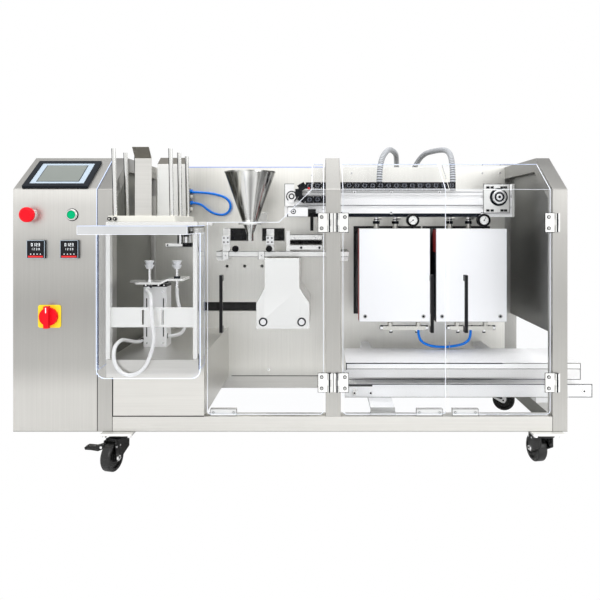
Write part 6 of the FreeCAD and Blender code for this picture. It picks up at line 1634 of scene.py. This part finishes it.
@dataclass
class Outfeed:
    """Pouch tray and outfeed conveyor."""

    frame_front: float = 139.9
    tray_front: float = 110.0

    def build(self, bench: Bench) -> None:
        """Dress the outfeed."""
        bench.paint("steel_tray", "pouch_tray")
        bench.recast("conveyor_frame", "white_metal", (
            ("bezel", lambda place: place.z < 152.9 and place.x < 732.6),
            ("steel_mid", lambda place: place.z < 152.9), ("white_paint", anywhere)), bevel=0.8)
        bench.paint("steel_bright", "conveyor_rollers")
        bench.paint("steel_tray", "conveyor_belt")
        bolts = [((x, 140.0, z), Facing.FRONT) for x, z in ((693, 166), (740, 166), (1354, 171))]
        bench.scatter("conveyor_bolts", Head(6.0, 3.0, 3.0), bolts, slot="white_metal")
        form = Form(bench, "conveyor_lines")
        form.block("black_moulded", (668, 139.6, 184.5), (745, 140.4, 188.5))
        form.rule("bezel", 666, 1376, self.frame_front, 190.4, 1.6)
        form.rule("steel_shade", 666, 1310, self.frame_front, 153.6, 1.2)
        form.strip("bezel", [(x, self.frame_front, z) for x, z in ((1376.8, 190.4), (1376.8, 153.8), (1312, 153.8))],
                   1.6)
        form.done(slot="white_metal")
        tray = Form(bench, "tray_lines")
        tray.rule("bezel", 669, 1110, self.tray_front, 257.2, 2.4)
        tray.rule("steel_shade", 1112, 1332, self.tray_front, 257.2, 1.6)
        tray.rule("steel_shade", 669, 1332, self.tray_front, 241.6, 1.6)
        tray.strip("bezel", [(x, self.tray_front, z) for x, z in ((669, 211.6), (1332, 211.6), (1332, 256.0))], 1.4)
        tray.strip("bezel", [(669.2, self.tray_front, 240.0), (669.2, self.tray_front, 256.0)], 2.2)
        tray.done(slot="polished_steel")


HINGE_HEIGHTS = (204.0, 631.0)
HINGE_SCREW = Head(4.8, 1.8, 3.4, finish="bezel", inside="steel_mid")


@dataclass
class Door:
    """One clear door: its cut edges, bright with a painted glow, handle finish and hinge screws."""

    body: str
    left: float
    right: float
    axis: float
    leaf_side: int
    notch: bool = False
    left_edge: bool = True
    low: float = 143.0
    kink: float = 745.0
    top_run: float = 117.0
    top: float = 822.7
    corner: float = 9.0

    def build(self, bench: Bench) -> None:
        """Dress the door."""
        bench.paint("door_sheet", f"{self.body}_panel")
        bench.recast(f"{self.body}_fittings", "panel_steel", (
            ("black_moulded", lambda place: 360 < place.z < 522),
            ("bezel", lambda place: abs(place.x - self.axis) < 2.0),
            ("steel_bright", anywhere)), bevel=0.5, body=self.body)
        form = Form(bench, f"{self.body}_edges")
        path, top = self._outline()
        form.strip("sheet_edge", path, 1.5)
        form.strip("sheet_edge_blue", top, 1.5)
        form.strip("sheet_edge", [(self.left + (280 if self.notch else 1), 2.5, self.kink),
                                  (self.right - 1, 2.5, self.kink)], 0.8)
        form.done(self.body, "clear_acrylic")
        shadow = Form(bench, f"{self.body}_leaf_outlines")
        for z in HINGE_HEIGHTS:
            near, far = sorted((self.axis + self.leaf_side * 5.0, self.axis + self.leaf_side * 31.4))
            shadow.block("bezel", (near, -1.0, z - 1.3), (far, -0.05, z + 51.3))
        shadow.done(self.body, "panel_steel")
        screws = [((self.axis + self.leaf_side * 21.0, -2.5, z + dz), Facing.FRONT) for z in HINGE_HEIGHTS
                  for dz in (10.0, 40.0)]
        bench.scatter(f"{self.body}_hinge_screws", HINGE_SCREW, screws, self.body, "panel_steel")

    def _outline(self) -> tuple[list[Point], list[Point]]:
        """Corners of the cut edge, just inside the sheet's faces.

        Returns:
            The sides and foot as one run, and the top as another.
        """
        left, right, inset = self.left + 1.0, self.right - 1.0, 2.5
        low = self.low + 1.0
        foot = [(left + self.corner, inset, low), (right - self.corner, inset, low),
                (right - self.corner * 0.3, inset, low + self.corner * 0.3), (right, inset, low + self.corner)]
        foot_left = [(left, inset, low + self.corner), (left + self.corner * 0.3, inset, low + self.corner * 0.3)]
        high_right = (right, self.top_run, self.top - 1.0)
        if self.notch:
            high_left = (self.left + 280, self.top_run, self.top - 1.0)
            side = [high_left, (self.left + 280, inset, self.kink), (self.left + 192, inset, 657.0),
                    (left, inset, 657.0), *foot_left]
        else:
            high_left = (left, self.top_run, self.top - 1.0)
            side = [high_left, (left, inset, self.kink), *foot_left] if self.left_edge else []
        return [*side, *foot, (right, inset, self.kink), high_right], [high_left, high_right]


@dataclass
class Doors:
    """Three clear doors, the post hinges and the catches."""

    hinges: dict[str, tuple[float, int]] = field(default_factory=lambda: {
        "left_door": (620.0, -1), "middle_door": (640.0, 1), "right_door": (1226.0, -1)})

    def build(self, bench: Bench) -> None:
        """Dress all doors and what they close on."""
        for body, (axis, leaf_side) in self.hinges.items():
            low, high = bench.box(f"{body}_panel")
            Door(body, low.x, high.x, axis, leaf_side, notch=body == "left_door",
                 left_edge=body != "right_door").build(bench)
        bench.recast("post_fittings", "panel_steel", (
            ("bezel", lambda place: min(abs(place.x - axis) for axis, _ in self.hinges.values()) < 2.0),
            ("steel_bright", anywhere)), bevel=0.6)
        gap = Form(bench, "post_hinge_gap")
        for z in HINGE_HEIGHTS:
            gap.block("bezel", (629.2, -3.0, z), (630.8, -0.2, z + 50.0))
        gap.done(slot="panel_steel")
        catches = []
        rims = Form(bench, "catch_outlines")
        for left in (301.0, 853.0, 949.0):
            catches += [((left + dx, 6.0, 147.5), Facing.FRONT) for dx in (8.0, 62.0)]
            rims.outline("bezel", (left, 138.6), (left + 70, 156.6), 6.1, 1.0)
        rims.done(slot="panel_steel")
        bench.scatter("catch_screws", Head(3.0, 0.9, 1.8, finish="bezel", inside="steel_bright"), catches,
                      slot="panel_steel")


@dataclass
class Casters:
    """Four swivel casters: plates, forks, wheels and the front left brake."""

    names: tuple[str, ...] = ("front_left", "front_right", "rear_left", "rear_right")
    fork_half: float = 19.0

    def build(self, bench: Bench) -> None:
        """Dress the casters."""
        bench.recast("caster_plates", "polished_steel", (("steel_bright", anywhere),))
        for name in self.names:
            low, high = bench.box(f"{name}_wheel")
            centre = (low + high) / 2
            axle = next(Vector(joint["axis"]) for joint in bench.frame["joints"]
                        if joint["child"] == f"{name}_wheel").normalized()
            bench.recast(f"{name}_fork", "black_metal", (
                ("steel_chrome", self._within(centre, axle, 5.6)), ("black_paint", anywhere)),
                body=f"{name}_fork", bevel=0.4)
            bench.recast(f"{name}_wheel", "black_rubber", (
                ("black_paint", self._within(centre, axle, 29.0)),
                ("tread_rubber", anywhere)), body=f"{name}_wheel", bevel=0.5)
            self._bolts(bench, name, centre, axle)
        self._lever(bench)
        spots = []
        for middle in (56.0, 1200.0):
            spots += [((middle + dx, dy, 92.0), Facing.DOWN) for dx in (-33.0, 33.0) for dy in (-13.0, 53.0)]
        bench.scatter("plate_nuts", Head(6.0, 5.0, 3.0, sides=6), spots, slot="polished_steel")

    @staticmethod
    def _within(centre: Vector, axle: Vector, radius: float) -> Test:
        """A test for places within a radius of an axle."""
        def test(place: Vector) -> bool:
            """Whether the place is near the axle."""
            arm = place - centre
            return (arm - axle * arm.dot(axle)).length < radius
        return test

    def _bolts(self, bench: Bench, name: str, centre: Vector, axle: Vector) -> None:
        """Axle bolt and nut on both sides of a fork."""
        form = Form(bench, f"{name}_axle_bolt")
        for side in (-1, 1):
            foot = centre + axle * side * self.fork_half
            form.drum("steel_chrome", foot, foot + axle * side * 4.0, 8.0, 7.2, sides=6)
            form.drum("black_moulded", foot + axle * side * 4.0, foot + axle * side * 4.5, 3.0, sides=12)
            across = axle.cross(Vector((0, 0, 1))).normalized()
            for turn in (-1, 1):
                rivet = foot + across * turn * 8.0 + Vector((0, 0, 30.0))
                form.drum("steel_chrome", rivet - axle * side, rivet + axle * side * 1.2, 2.6, sides=12)
        form.done(f"{name}_fork", "black_metal")

    @staticmethod
    def _lever(bench: Bench) -> None:
        """Brake pedal of the front left caster."""
        form = Form(bench, "brake_pedal")
        form.prism("black_paint", [(28, -32, 74), (6, -32, 68), (-16, -32, 70), (-24, -32, 66), (-22, -32, 60),
                                   (-6, -32, 59), (12, -32, 56), (28, -32, 62)], (0, 20, 0))
        form.drum("steel_chrome", (20, -32.4, 66), (20, -33.6, 66), 3.4, sides=12)
        form.done("front_left_fork", "black_metal", bevel=1.2)


def main() -> None:
    """Build the studio and every sub-assembly."""
    logging.basicConfig(level=logging.INFO, format="%(name)s: %(message)s")
    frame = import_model()
    bench = Bench(frame)
    parts = (Studio(), Hoses(), Frame(), Cabinet(), Infeed(), Filling(), Transfer(), Chambers(), Outfeed(), Doors(),
             Casters())
    for part in parts:
        part.build(bench)
        LOG.info("%s is dressed", type(part).__name__)


if __name__ == "__main__":
    main()
